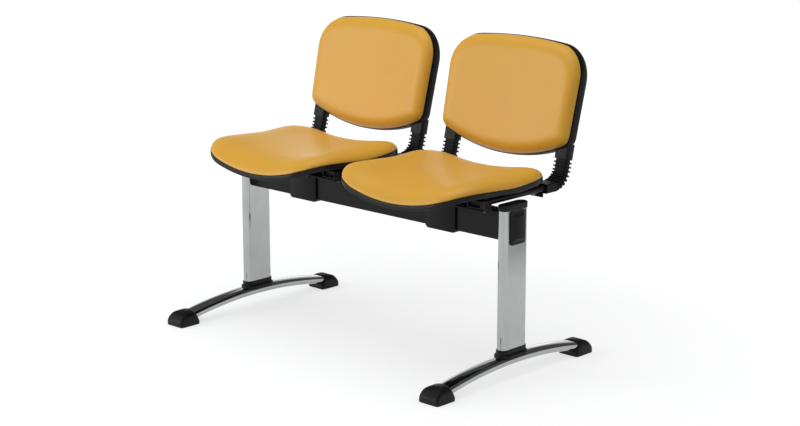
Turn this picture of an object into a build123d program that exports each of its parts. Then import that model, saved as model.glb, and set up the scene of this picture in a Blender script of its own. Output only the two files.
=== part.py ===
"""Two-place beam seating: upholstered seats and backs on a steel beam with chromed legs.

Millimetres. +X runs along the beam, -Y is the front, +Z is up. The floor is Z = 0.
The pieces are laid out about the line of the legs, and save() then moves the whole
object along Y so that the origin lies below the middle of its overall depth.
"""
import os
from math import cos, radians, sin, sqrt, tan

from build123d import *

os.makedirs("parts", exist_ok=True)

# ---------------------------------------------------------------- driving dimensions
SEAT_PITCH = 500.0            # centre to centre of the two places
LEG_SPREAD = 467.0            # leg line from the middle of the bench
FIT = 0.3                     # running gap between pieces that seat on each other

# beam and its end fixing
BEAM_HEIGHT = 74.0
BEAM_DEPTH = 40.0
BEAM_WALL = 2.0
BEAM_CORNER = 5.0
BEAM_TOP = 420.0
END_PLATE = 8.0               # thickness of the tapped plate welded into each beam end
BEAM_BOLT_SPACING = 36.0
BEAM_BOLT = 8.0               # thread diameter
BOLT_HEAD = 13.0
BOLT_HEAD_HEIGHT = 5.0

# chromed column
COLUMN_DEPTH = 92.0
COLUMN_WIDTH = 30.0
COLUMN_WALL = 2.0
COLUMN_PROUD = 7.0            # top of the column above the top of the beam
CAP_HEIGHT = 15.0
CAP_LIP = 1.0
CAP_PLUG = 16.0               # length of the plug inside the column

# cover over the beam bolts
COVER_WIDTH = 56.0
COVER_HEIGHT = 85.0
COVER_DEPTH = 9.0
COVER_RIM = 3.0
COVER_CORNER = 7.0
COVER_SHELL = 1.8

# arched foot
FOOT_WIDTH = 50.0
FOOT_HEIGHT = 24.0
FOOT_WALL = 2.0
FOOT_CROWN = 46.8             # height of the tube's centre line at the column
FOOT_RADIUS = 1305.0
FOOT_END_INSET = 24.0         # tube end inside the nose of its cap
FOOT_BOLT = 10.0
FOOT_BOLT_HEAD = 16.0
FOOT_BOLT_SPACING = 44.0
BASE_INSERT = 18.0            # thickness of the tapped block in the column's foot

# foot cap
FRONT_REACH = 306.0           # nose of the front cap from the column line
REAR_REACH = 294.0
CAP_LENGTH = 67.0
CAP_WIDTH = 64.0
CAP_CROWN = 39.5
CAP_SIDE = 8.0                # height of the upright side wall
CAP_NOSE = 16.0               # height of the upright nose
CAP_SLOPE = 24.0              # run of the slanted front facet
CAP_LEAN = 20.0               # how far the inner face leans back at the crown
CAP_CORNER = 7.0

# collar round the column's foot
COLLAR_LENGTH = 104.0
COLLAR_WIDTH = 48.0
COLLAR_RISE = 10.2            # top of the collar's flange above the foot's centre line
COLLAR_COVE = 4.0             # how far the collar draws in above its flange
COLLAR_HEIGHT = 18.0          # collar above its flange
COLLAR_RIM = 2.2              # wall of the collar's upper rim outside the column
COLLAR_SKIRT = 10.0           # depth of the flange over the foot's shoulders

# oval tube that carries the seat and rises to the back
TUBE_WIDTH = 33.0
TUBE_DEPTH = 17.0
TUBE_WALL = 1.5
TUBE_SPACING = 377.0          # centre to centre of a seat's two tubes
TUBE_BEND = 45.0
TUBE_TOP = -60.0              # tube end inside the back, measured up the back from its middle

# seat carrier, saddle, pads and end caps
CARRIER_THICK = 4.5
CARRIER_RISE = 10.5           # joggle from the web up to the strip and the rear flange
CARRIER_HALF = 201.0
STRIP_FRONT = -96.0
STRIP_WIDTH = 40.0
STRIP_CORNER = 8.0
REAR_FLANGE = 132.0           # front face of the upstanding rear flange
WEB_HALF = 55.0
WEB_SLOPE = 10.0              # run of the joggle at each end of the web
SADDLE_LENGTH = 100.0
SADDLE_WALL = 5.0
SADDLE_FLANGE = 22.0
SADDLE_CHAMFER = 6.0
CLAMP_BOLT = 8.0
CLAMP_BOLT_PITCH = 70.0
NUT_HEIGHT = 6.5
PAD_WIDTH = 26.0              # spacer between the front strip and the tube
PAD_LENGTH = 32.0
PAD_HEIGHT = 9.0
MOUTH_FRONT = -112.0          # front of the tube's end cap
MOUTH_WIDTH = 44.0
MOUTH_HEIGHT = 20.0
MOUTH_WALL = 3.0
MOUTH_DEPTH = 8.0
MOUTH_WEB = 1.5
MOUTH_SOCKET = 6.0            # how far the tube enters its end cap
MOUTH_CORNER = 4.0
REAR_SCREW_Y = 112.0
SEAT_SCREW = 6.0
SEAT_SCREW_HEAD = 11.0
SEAT_SCREW_HEAD_HEIGHT = 4.0

# seat shape: the lower edge of the cushion is a dished line
SEAT_HALF = 221.0
SEAT_FRONT = -212.0
SEAT_REAR = 178.5
SEAT_MIDDLE = 3.0             # where the dish is shallowest
SEAT_RISE = 7.0               # cushion's lower edge line at the middle, above the tubes' line
SEAT_FRONT_DROP = 23.0
SEAT_FALL = 0.016             # backward fall of the seat, per millimetre
SIDE_RISE = 17.5
FRONT_RISE = 30.0
REAR_RISE = 21.0
SEAT_FRONT_CORNER = 92.0
SEAT_REAR_CORNER = 100.0
SEAT_FRONT_SAG = 10.0
SEAT_FRONT_HALF = 225.0       # half width where the front and the sides would meet
SEAT_REAR_HALF = 217.0
CUSHION_THICK = 35.5          # at the middle of the seat
CUSHION_CROWN = 8.0           # how much thinner the cushion is at its sides
CUSHION_TAPER = 5.0           # how much thinner it is at its front and rear
CUSHION_ROUND = 19.0
BOARD_THICK = 10.0
BOARD_INSET = 12.0
PAN_WALL = 3.0
PAN_RIM = 13.0                # depth of the pan's rim below the cushion
PAN_FLOOR = 8.0               # depth of the pan's underside below the cushion
PAN_INSET = 1.5
BOARD_GAP = 5.3               # top of the board above the cushion's lower edge
BOSS_DIAMETER = 24.0
INSERT_DIAMETER = 10.0
INSERT_HEIGHT = 6.0

# back shape
BACK_LEAN = 13.3              # degrees
BACK_Y = 253.1                # middle of the pad's rear face
BACK_RISE = 194.5             # middle of the back above the tubes' level line
BACK_TOP = 161.0
BACK_SHOULDER = 152.0         # height where the top and the sides would meet
BACK_SHOULDER_HALF = 222.5
BACK_HIP = -100.0             # height where the sides and the bottom would meet
BACK_HIP_HALF = 216.0
BACK_BOTTOM = -148.0
BACK_TOP_CORNER = 97.0
BACK_BOTTOM_CORNER = 32.0
BACK_HOLLOW = 12.0            # how far the sides stand forward of the middle
BACK_PAD_THICK = 31.5         # at the middle of the back
BACK_PAD_CROWN = 10.0         # how much thinner the pad is at its sides
BACK_PAD_TAPER = 5.0          # how much thinner it is at its top and bottom
BACK_PAD_ROUND = 16.0
BACK_BOARD_THICK = 8.0
BACK_BOARD_INSET = 14.0
BOARD_NOTCH = 4.0             # gap round the sockets at the board's lower corners
SHELL_DEPTH = 30.0
SHELL_WALL = 3.0
SHELL_ROUND = 12.0
SOCKET_WIDTH = 45.0
SOCKET_DEPTH = 26.0
SOCKET_CORNER = 7.0
SOCKET_BOTTOM = -137.0
SOCKET_LINE = -8.4            # tube centre line behind the middle of the pad's rear face
SHELL_SCREW_X = 120.0
SHELL_SCREW_TOP = 95.0
SHELL_SCREW_BOTTOM = -62.0
SHELL_SCREW = 4.0
SHELL_SCREW_HEAD = 8.0
SHELL_SCREW_HEAD_HEIGHT = 3.0
SHELL_POST = 13.0
SHELL_POST_LAND = 3.5         # material left under the screw head
SOCKET_TOP = -56.0            # closed end of the sockets inside the back
SOCKET_LEDGE = -99.0          # where the sockets meet the back, measured up the back
SOCKET_SCREW_RISE = 19.0      # socket screw above the socket's mouth

# corrugated boot over the tube's bend
BOOT_WALL = 1.3
RING_WIDTH = 45.0
RING_DEPTH = 26.0
RING_THICK = 5.0
RING_CORNER = 4.5
CUFF_GAP = 2.5                # between the carrier's rear flange and the cuff
CUFF_HEIGHT = 24.0
CUFF_DROP = 1.0               # middle of the cuff below the tube's centre line
STRAIGHT_RINGS = 2
STRAIGHT_PITCH = 11.4
RING_FIRST = 8.5              # first ring below the socket's mouth
BEND_RINGS = 6
BEND_PITCH = 12.6             # degrees between rings round the bend

# ---------------------------------------------------------------- derived places
BEAM_BOTTOM = BEAM_TOP - BEAM_HEIGHT
BEAM_MIDDLE = BEAM_TOP - BEAM_HEIGHT / 2
COLUMN_INNER = LEG_SPREAD - COLUMN_WIDTH / 2
COLUMN_OUTER = LEG_SPREAD + COLUMN_WIDTH / 2
FOOT_CENTRE_Z = FOOT_CROWN - FOOT_RADIUS
FOOT_TOP = FOOT_CROWN + FOOT_HEIGHT / 2
COLUMN_TOP = BEAM_TOP + COLUMN_PROUD
COLLAR_FLANGE_TOP = FOOT_CROWN + COLLAR_RISE
COLLAR_TOP = COLLAR_FLANGE_TOP + COLLAR_HEIGHT
WEB_BOTTOM = BEAM_TOP
STRIP_BOTTOM = WEB_BOTTOM + CARRIER_RISE
STRIP_TOP = STRIP_BOTTOM + CARRIER_THICK
TUBE_HEIGHT = STRIP_TOP + PAD_HEIGHT + TUBE_DEPTH / 2    # centre line of the level run
SEAT_EDGE = TUBE_HEIGHT + SEAT_RISE
BACK_Z = TUBE_HEIGHT + BACK_RISE
TUBE_UPPER = TUBE_HEIGHT + TUBE_DEPTH / 2
TUBE_LOWER = TUBE_HEIGHT - TUBE_DEPTH / 2
TUBE_X = TUBE_SPACING / 2
TUBE_FRONT = MOUTH_FRONT + MOUTH_DEPTH + MOUTH_WEB
FRONT_SCREW_Y = STRIP_FRONT + STRIP_WIDTH / 2
LEAN = radians(BACK_LEAN)

# the back's own planes: BACK faces forward, ACROSS looks down the lean with y forward
BACK = Plane(origin=(0, BACK_Y, BACK_Z), x_dir=(1, 0, 0), z_dir=(0, -cos(LEAN), sin(LEAN)))
ACROSS = Plane(origin=(0, BACK_Y, BACK_Z), x_dir=(1, 0, 0), z_dir=(0, -sin(LEAN), -cos(LEAN)))

# the tube's centre line in the YZ plane: level run, bend, and the leaning upright
upright_foot = BACK.from_local_coords((0, SOCKET_BOTTOM, SOCKET_LINE))
BEND_Y = upright_foot.Y - (upright_foot.Z - TUBE_HEIGHT) * tan(LEAN)
BEND_TANGENT = TUBE_BEND * tan(radians(90 - BACK_LEAN) / 2)
BEND_START = BEND_Y - BEND_TANGENT
BEND_END_Y = BEND_Y + BEND_TANGENT * sin(LEAN)
BEND_END_Z = TUBE_HEIGHT + BEND_TANGENT * cos(LEAN)
UPRIGHT_RUN = (upright_foot.Z - BEND_END_Z) / cos(LEAN)   # straight tube below the socket

# the frame's shift: half way between the foremost cap and the rearmost edge of a back
REAR_EXTREME = (
    BACK_Y + (BACK_TOP - SHELL_ROUND) * sin(LEAN) + (SHELL_DEPTH - SHELL_ROUND) * cos(LEAN)
    + SHELL_ROUND)
FRAME_SHIFT = (FRONT_REACH - REAR_EXTREME) / 2


def save(part, name, x=0.0):
    """Place a finished piece in the object's frame, label it and write its STEP file."""
    piece = Pos(x, FRAME_SHIFT, 0) * part
    piece.label = name
    export_step(piece, f"parts/{name}.step")


def save_pair(part, name, offset):
    """Write a piece twice, to the left and to the right of the middle."""
    save(part, f"{name}_left", -offset)
    save(part, f"{name}_right", offset)


# ---------------------------------------------------------------- beam
beam_length = 2 * (COLUMN_INNER)
with BuildPart() as beam_tube:
    with BuildSketch(Plane.YZ.offset(-beam_length / 2)) as section:
        with Locations((0, BEAM_MIDDLE)):
            RectangleRounded(BEAM_DEPTH, BEAM_HEIGHT, BEAM_CORNER)
            RectangleRounded(
                BEAM_DEPTH - 2 * BEAM_WALL, BEAM_HEIGHT - 2 * BEAM_WALL,
                BEAM_CORNER - BEAM_WALL, mode=Mode.SUBTRACT)
    extrude(amount=beam_length)
save(beam_tube.part, "beam_tube")

BOLT_PLACES = [(0, BEAM_MIDDLE - BEAM_BOLT_SPACING / 2), (0, BEAM_MIDDLE + BEAM_BOLT_SPACING / 2)]


def build_end_plate(side):
    """Tapped plate welded into the beam's end, flush with the column's inner face."""
    inner = side * (COLUMN_INNER - END_PLATE)
    with BuildPart() as plate:
        with BuildSketch(Plane.YZ.offset(min(inner, side * COLUMN_INNER))):
            with Locations((0, BEAM_MIDDLE)):
                RectangleRounded(
                    BEAM_DEPTH - 2 * BEAM_WALL - 0.4, BEAM_HEIGHT - 2 * BEAM_WALL - 0.4,
                    BEAM_CORNER - BEAM_WALL)
            with Locations(*BOLT_PLACES):
                Circle(BEAM_BOLT / 2 + 0.1, mode=Mode.SUBTRACT)
        extrude(amount=END_PLATE)
    return plate.part


def build_beam_bolts(side):
    """Two hexagon bolts through the column into the beam's end plate."""
    shank = COLUMN_WIDTH + END_PLATE
    with BuildPart() as bolts:
        with BuildSketch(Plane.YZ.offset(side * COLUMN_OUTER)):
            with Locations(*BOLT_PLACES):
                RegularPolygon(BOLT_HEAD / 2, 6, major_radius=False)
        extrude(amount=side * BOLT_HEAD_HEIGHT)
        with BuildSketch(Plane.YZ.offset(side * COLUMN_OUTER)):
            with Locations(*BOLT_PLACES):
                Circle(BEAM_BOLT / 2)
        extrude(amount=-side * shank)
    return bolts.part


# ---------------------------------------------------------------- column and its fittings
FOOT_FRONT_END = FRONT_REACH - FOOT_END_INSET
FOOT_REAR_END = REAR_REACH - FOOT_END_INSET


def foot_height(y):
    """Height of the arched foot's centre line at a distance along Y."""
    return FOOT_CENTRE_Z + sqrt(FOOT_RADIUS ** 2 - y ** 2)


def build_foot_solid(grow):
    """The arched foot as a plain solid, `grow` larger all round than the tube."""
    start = (0, -FOOT_FRONT_END, foot_height(FOOT_FRONT_END))
    end = (0, FOOT_REAR_END, foot_height(FOOT_REAR_END))
    tangent = (0, start[2] - FOOT_CENTRE_Z, FOOT_FRONT_END)
    with BuildPart() as solid:
        with BuildLine() as path:
            ThreePointArc(start, (0, 0, FOOT_CROWN), end)
        with BuildSketch(Plane(origin=start, x_dir=(1, 0, 0), z_dir=tangent)):
            SlotOverall(FOOT_WIDTH + 2 * grow, FOOT_HEIGHT + 2 * grow)
        sweep(path=path.line)
    return solid.part


foot_outer = build_foot_solid(0)
foot_inner = build_foot_solid(-FOOT_WALL)
foot_clearance = build_foot_solid(FIT)

FOOT_BOLT_PLACES = [(0, -FOOT_BOLT_SPACING / 2), (0, FOOT_BOLT_SPACING / 2)]
with BuildPart() as foot_tube:
    add(foot_outer)
    add(foot_inner, mode=Mode.SUBTRACT)
    with BuildSketch(Plane.XY.offset(FOOT_CROWN)):
        with Locations(*FOOT_BOLT_PLACES):
            Circle(FOOT_BOLT / 2 + FIT)
    extrude(amount=FOOT_HEIGHT, mode=Mode.SUBTRACT)
    with BuildSketch(Plane.XY.offset(FOOT_CROWN)):
        with Locations(*FOOT_BOLT_PLACES):
            Circle(FOOT_BOLT_HEAD / 2 + 1.5)
    extrude(amount=-FOOT_HEIGHT, mode=Mode.SUBTRACT)
save_pair(foot_tube.part, "foot_tube", LEG_SPREAD)

with BuildPart() as column:
    with BuildSketch(Plane.XY.offset(FOOT_CROWN)):
        SlotOverall(COLUMN_DEPTH, COLUMN_WIDTH, rotation=90)
        SlotOverall(
            COLUMN_DEPTH - 2 * COLUMN_WALL, COLUMN_WIDTH - 2 * COLUMN_WALL,
            rotation=90, mode=Mode.SUBTRACT)
    extrude(amount=COLUMN_TOP - FOOT_CROWN)
    add(foot_outer, mode=Mode.SUBTRACT)
    split(bisect_by=Plane.XY.offset(FOOT_CROWN + FOOT_HEIGHT / 4), keep=Keep.TOP)
    with BuildSketch(Plane.YZ):
        with Locations(*BOLT_PLACES):
            Circle(BEAM_BOLT / 2 + FIT)
    extrude(amount=COLUMN_WIDTH, both=True, mode=Mode.SUBTRACT)
save_pair(column.part, "column", LEG_SPREAD)

insert_bottom = FOOT_TOP + FIT
with BuildPart() as base_insert:
    with BuildSketch(Plane.XY.offset(insert_bottom)):
        SlotOverall(
            COLUMN_DEPTH - 2 * COLUMN_WALL - 2 * FIT, COLUMN_WIDTH - 2 * COLUMN_WALL - 2 * FIT,
            rotation=90)
        with Locations(*FOOT_BOLT_PLACES):
            Circle(FOOT_BOLT / 2 + 0.1, mode=Mode.SUBTRACT)
    extrude(amount=BASE_INSERT)
save_pair(base_insert.part, "column_insert", LEG_SPREAD)

head_reach = FOOT_BOLT_SPACING / 2 + FOOT_BOLT_HEAD / 2
head_top = foot_height(head_reach) + FOOT_HEIGHT / 2 - FOOT_WALL - 0.1
with BuildPart() as foot_bolts:
    with BuildSketch(Plane.XY.offset(head_top)):
        with Locations(*FOOT_BOLT_PLACES):
            Circle(FOOT_BOLT_HEAD / 2)
            RegularPolygon(FOOT_BOLT / 2, 6, mode=Mode.SUBTRACT)
    extrude(amount=-FOOT_BOLT)
    with BuildSketch(Plane.XY.offset(head_top - FOOT_BOLT / 2)):
        with Locations(*FOOT_BOLT_PLACES):
            Circle(FOOT_BOLT / 2)
    extrude(amount=insert_bottom + BASE_INSERT - 2 - head_top + FOOT_BOLT / 2)
save_pair(foot_bolts.part, "foot_bolts", LEG_SPREAD)

rim_width = COLUMN_WIDTH + 2 * COLLAR_RIM
rim_length = COLUMN_DEPTH + 2 * COLLAR_RIM
with BuildPart() as collar:
    with BuildSketch(Plane.XY.offset(COLLAR_FLANGE_TOP - COLLAR_SKIRT)):
        RectangleRounded(COLLAR_WIDTH, COLLAR_LENGTH, 6)
    extrude(amount=COLLAR_SKIRT)
    chamfer(collar.edges().group_by(Axis.Z)[-1], 1.2)
    with BuildSketch(Plane.XY.offset(COLLAR_FLANGE_TOP)):
        RectangleRounded(COLLAR_WIDTH - COLLAR_COVE, COLLAR_LENGTH - COLLAR_COVE, 4)
    with BuildSketch(Plane.XY.offset(COLLAR_FLANGE_TOP + COLLAR_COVE)):
        RectangleRounded(rim_width + 3, rim_length + 2, 3)
    with BuildSketch(Plane.XY.offset(COLLAR_TOP)):
        RectangleRounded(rim_width, rim_length, 2)
    loft(ruled=True)
    with BuildSketch(Plane.XY.offset(FOOT_CROWN)):
        SlotOverall(COLUMN_DEPTH + 2 * FIT, COLUMN_WIDTH + 2 * FIT, rotation=90)
    extrude(amount=COLLAR_TOP, mode=Mode.SUBTRACT)
    add(foot_clearance, mode=Mode.SUBTRACT)
save_pair(collar.part, "column_collar", LEG_SPREAD)

with BuildPart() as column_cap:
    with BuildSketch(Plane.XY.offset(COLUMN_TOP)):
        SlotOverall(COLUMN_DEPTH + 2 * CAP_LIP, COLUMN_WIDTH + 2 * CAP_LIP, rotation=90)
    extrude(amount=CAP_HEIGHT)
    fillet(column_cap.edges().filter_by(Plane.XY).group_by(Axis.Z)[-1], 2.5)
    with BuildSketch(Plane.XY.offset(COLUMN_TOP)):
        SlotOverall(
            COLUMN_DEPTH - 2 * COLUMN_WALL - 2 * FIT, COLUMN_WIDTH - 2 * COLUMN_WALL - 2 * FIT,
            rotation=90)
        SlotOverall(
            COLUMN_DEPTH - 4 * COLUMN_WALL - 2 * FIT, COLUMN_WIDTH - 4 * COLUMN_WALL - 2 * FIT,
            rotation=90, mode=Mode.SUBTRACT)
    extrude(amount=-CAP_PLUG)
save_pair(column_cap.part, "column_cap", LEG_SPREAD)


def build_bolt_cover(side):
    """Moulded cover with a bevelled panel, hollow over the two bolt heads."""
    face = Plane(origin=(side * COLUMN_OUTER, 0, BEAM_MIDDLE), x_dir=(0, side, 0), z_dir=(side, 0, 0))
    panel_width = COVER_WIDTH - 12
    panel_height = COVER_HEIGHT - 14
    with BuildPart() as cover:
        with BuildSketch(face):
            RectangleRounded(COVER_WIDTH, COVER_HEIGHT, COVER_CORNER)
        extrude(amount=COVER_RIM)
        with BuildSketch(face.offset(COVER_RIM)):
            RectangleRounded(panel_width, panel_height, 3)
        with BuildSketch(face.offset(COVER_DEPTH)):
            RectangleRounded(panel_width - 14, panel_height - 16, 2)
        loft()
        with BuildSketch(face):
            RectangleRounded(panel_width - 16, panel_height - 18, 2)
        extrude(amount=COVER_DEPTH - COVER_SHELL, mode=Mode.SUBTRACT)
    return cover.part


for side, name in ((-1, "left"), (1, "right")):
    save(build_end_plate(side), f"beam_end_plate_{name}")
    save(build_beam_bolts(side), f"beam_bolts_{name}")
    save(build_bolt_cover(side), f"bolt_cover_{name}")


# ---------------------------------------------------------------- foot caps
def build_foot_cap(end, reach):
    """Moulded cap on a foot's end: arched section, slanted front facet, leaning inner face."""
    nose = end * reach
    inner = end * (reach - CAP_LENGTH)
    half = CAP_WIDTH / 2
    crown = CAP_CROWN
    with BuildPart() as cap:
        with BuildSketch(Plane.XZ):
            with BuildLine():
                Polyline((-half, CAP_SIDE), (-half, 0), (half, 0), (half, CAP_SIDE))
                Spline(
                    (half, CAP_SIDE), (half * 0.81, crown * 0.74), (half * 0.38, crown * 0.98),
                    (0, crown), (-half * 0.38, crown * 0.98), (-half * 0.81, crown * 0.74),
                    (-half, CAP_SIDE), tangents=((-0.1, 1), (-0.1, -1)))
            make_face()
        extrude(amount=reach, both=True)
        with BuildSketch(Plane.YZ):
            with BuildLine():
                Polyline(
                    (nose, 0), (nose, CAP_NOSE), (nose - end * CAP_SLOPE, crown + 0.5),
                    (inner + end * CAP_LEAN, crown + 0.5), (inner, 0), close=True)
            make_face()
        extrude(amount=CAP_WIDTH, both=True, mode=Mode.INTERSECT)
        uprights = cap.edges().filter_by(Axis.Z).sort_by(Axis((0, 0, 0), (0, end, 0)))
        fillet(uprights[-2:], CAP_CORNER)
        add(foot_clearance, mode=Mode.SUBTRACT)
    return cap.part


save_pair(build_foot_cap(-1, FRONT_REACH), "front_foot_cap", LEG_SPREAD)
save_pair(build_foot_cap(1, REAR_REACH), "rear_foot_cap", LEG_SPREAD)


# ---------------------------------------------------------------- seat carrier and saddle
cheek = BEAM_DEPTH / 2 + FIT          # inner face of each saddle cheek
outer = cheek + SADDLE_WALL
lip = outer + SADDLE_FLANGE
saddle_bottom = BEAM_BOTTOM - FIT - SADDLE_WALL
flange_bottom = BEAM_TOP - SADDLE_WALL
CLAMP_PLACES = GridLocations(CLAMP_BOLT_PITCH, 2 * outer + SADDLE_FLANGE, 2, 2).locations

with BuildPart() as saddle:
    with BuildSketch(Plane.YZ):
        with BuildLine():
            Polyline(
                (-outer, saddle_bottom), (outer, saddle_bottom), (outer, flange_bottom),
                (lip, flange_bottom), (lip, BEAM_TOP), (cheek, BEAM_TOP),
                (cheek, BEAM_BOTTOM - FIT), (-cheek, BEAM_BOTTOM - FIT), (-cheek, BEAM_TOP),
                (-lip, BEAM_TOP), (-lip, flange_bottom), (-outer, flange_bottom), close=True)
        make_face()
    extrude(amount=SADDLE_LENGTH / 2, both=True)
    with BuildSketch(Plane.XZ):
        with Locations((0, BEAM_TOP)):
            Rectangle(SADDLE_LENGTH, BEAM_TOP - saddle_bottom, align=(Align.CENTER, Align.MAX))
        chamfer(vertices().group_by(Axis.Y)[0], SADDLE_CHAMFER)
    extrude(amount=lip, both=True, mode=Mode.INTERSECT)
    with BuildSketch(Plane.XY.offset(BEAM_TOP)):
        with Locations(*CLAMP_PLACES):
            Circle(CLAMP_BOLT / 2 + FIT)
    extrude(amount=-SADDLE_WALL, mode=Mode.SUBTRACT)
save_pair(saddle.part, "beam_saddle", SEAT_PITCH / 2)

FRONT_SCREWS = [(-TUBE_X, FRONT_SCREW_Y), (TUBE_X, FRONT_SCREW_Y)]
REAR_SCREWS = [(-TUBE_X, REAR_SCREW_Y), (TUBE_X, REAR_SCREW_Y)]
SEAT_SCREWS = FRONT_SCREWS + REAR_SCREWS
bay_front = STRIP_FRONT + STRIP_WIDTH
flange_rear = REAR_FLANGE + CARRIER_THICK
web_front = bay_front + WEB_SLOPE
web_rear = REAR_FLANGE - 2 * WEB_SLOPE
web_top = WEB_BOTTOM + CARRIER_THICK
with BuildPart() as carrier:
    with BuildSketch(Plane.YZ):
        with BuildLine():
            Polyline(
                (STRIP_FRONT, STRIP_BOTTOM), (STRIP_FRONT, STRIP_TOP), (bay_front, STRIP_TOP),
                (web_front, web_top), (web_rear, web_top), (web_rear + WEB_SLOPE, STRIP_TOP),
                (REAR_FLANGE, STRIP_TOP), (REAR_FLANGE, TUBE_LOWER), (flange_rear, TUBE_LOWER),
                (flange_rear, STRIP_BOTTOM), (web_rear + WEB_SLOPE, STRIP_BOTTOM),
                (web_rear, WEB_BOTTOM), (web_front, WEB_BOTTOM), (bay_front, STRIP_BOTTOM),
                close=True)
        make_face()
    extrude(amount=CARRIER_HALF, both=True)
    with BuildSketch(Plane.XY.offset(WEB_BOTTOM)):
        for side in (-1, 1):
            with Locations((side * (CARRIER_HALF + WEB_HALF) / 2, (bay_front + REAR_FLANGE) / 2)):
                Rectangle(CARRIER_HALF - WEB_HALF, REAR_FLANGE - bay_front)
    extrude(amount=TUBE_LOWER - WEB_BOTTOM, mode=Mode.SUBTRACT)
    strip_ends = carrier.edges().filter_by(Axis.Z).filter_by_position(
        Axis.Y, STRIP_FRONT - 1, bay_front + 1).group_by(Axis.X)
    fillet(strip_ends[0] + strip_ends[-1], STRIP_CORNER)
    with BuildSketch(Plane.XY.offset(WEB_BOTTOM)):
        with Locations(*CLAMP_PLACES):
            Circle(CLAMP_BOLT / 2 + FIT)
        with Locations(*FRONT_SCREWS):
            Circle(SEAT_SCREW / 2 + FIT)
    extrude(amount=STRIP_TOP - WEB_BOTTOM, mode=Mode.SUBTRACT)
save_pair(carrier.part, "seat_carrier", SEAT_PITCH / 2)

BOTH_SEATS = [-SEAT_PITCH / 2, SEAT_PITCH / 2]
ALL_CLAMPS = [(x + p.position.X, p.position.Y) for x in BOTH_SEATS for p in CLAMP_PLACES]

with BuildPart() as carrier_bolts:
    with BuildSketch(Plane.XY.offset(web_top)):
        with Locations(*ALL_CLAMPS):
            RegularPolygon(BOLT_HEAD / 2, 6, major_radius=False)
    extrude(amount=BOLT_HEAD_HEIGHT)
    with BuildSketch(Plane.XY.offset(web_top)):
        with Locations(*ALL_CLAMPS):
            Circle(CLAMP_BOLT / 2)
    extrude(amount=-(web_top - flange_bottom + NUT_HEIGHT + 2))
save(carrier_bolts.part, "carrier_bolts")

with BuildPart() as carrier_nuts:
    with BuildSketch(Plane.XY.offset(flange_bottom)):
        with Locations(*ALL_CLAMPS):
            RegularPolygon(BOLT_HEAD / 2, 6, major_radius=False)
            Circle(CLAMP_BOLT / 2 + 0.1, mode=Mode.SUBTRACT)
    extrude(amount=-NUT_HEIGHT)
save(carrier_nuts.part, "carrier_nuts")


# ---------------------------------------------------------------- tubes, end caps and pads
def build_tube_solid(width, depth, first_y, last):
    """The bent tube's solid between a distance along Y and a height up the back."""
    with BuildPart() as solid:
        with BuildLine() as path:
            Line((0, first_y, TUBE_HEIGHT), (0, BEND_START, TUBE_HEIGHT))
            TangentArc((0, BEND_START, TUBE_HEIGHT), (0, BEND_END_Y, BEND_END_Z), tangent=(0, 1, 0))
            Line((0, BEND_END_Y, BEND_END_Z), BACK.from_local_coords((0, last, SOCKET_LINE)))
        with BuildSketch(Plane(origin=(0, first_y, TUBE_HEIGHT), x_dir=(1, 0, 0), z_dir=(0, 1, 0))):
            SlotOverall(width, depth)
        sweep(path=path.wire())
    return solid.part


socket_screw_v = SOCKET_BOTTOM + SOCKET_SCREW_RISE
with BuildPart() as back_tube:
    add(build_tube_solid(TUBE_WIDTH, TUBE_DEPTH, TUBE_FRONT, TUBE_TOP))
    add(build_tube_solid(
        TUBE_WIDTH - 2 * TUBE_WALL, TUBE_DEPTH - 2 * TUBE_WALL, TUBE_FRONT, TUBE_TOP),
        mode=Mode.SUBTRACT)
    with BuildSketch(Plane.XY.offset(TUBE_HEIGHT)):
        with Locations((0, FRONT_SCREW_Y), (0, REAR_SCREW_Y)):
            Circle(SEAT_SCREW / 2 + FIT)
    extrude(amount=TUBE_DEPTH, both=True, mode=Mode.SUBTRACT)
    with BuildSketch(BACK.offset(SOCKET_LINE)):
        with Locations((0, socket_screw_v)):
            Circle(SHELL_SCREW / 2 + FIT)
    extrude(amount=-TUBE_DEPTH, mode=Mode.SUBTRACT)

tube_bore = build_tube_solid(
    TUBE_WIDTH + 2 * FIT, TUBE_DEPTH + 2 * FIT, TUBE_FRONT, TUBE_TOP + FIT)

with BuildPart() as end_cap:
    with BuildSketch(Plane.XZ.offset(-MOUTH_FRONT)):
        with Locations((0, TUBE_HEIGHT)):
            RectangleRounded(MOUTH_WIDTH, MOUTH_HEIGHT, MOUTH_CORNER)
    extrude(amount=-(MOUTH_DEPTH + MOUTH_WEB + MOUTH_SOCKET))
    with BuildSketch(Plane.XZ.offset(-MOUTH_FRONT)):
        with Locations((0, TUBE_HEIGHT)):
            RectangleRounded(MOUTH_WIDTH - 2 * MOUTH_WALL, MOUTH_HEIGHT - 2 * MOUTH_WALL, 1.5)
    extrude(amount=-MOUTH_DEPTH, mode=Mode.SUBTRACT)
    add(tube_bore, mode=Mode.SUBTRACT)

with BuildPart() as tube_pad:
    with BuildSketch(Plane.XY.offset(STRIP_TOP)):
        with Locations((0, FRONT_SCREW_Y)):
            RectangleRounded(PAD_WIDTH, PAD_LENGTH, 3)
            Circle(SEAT_SCREW / 2 + FIT, mode=Mode.SUBTRACT)
    extrude(amount=TUBE_LOWER - STRIP_TOP + TUBE_DEPTH / 4)
    add(tube_bore, mode=Mode.SUBTRACT)


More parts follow.
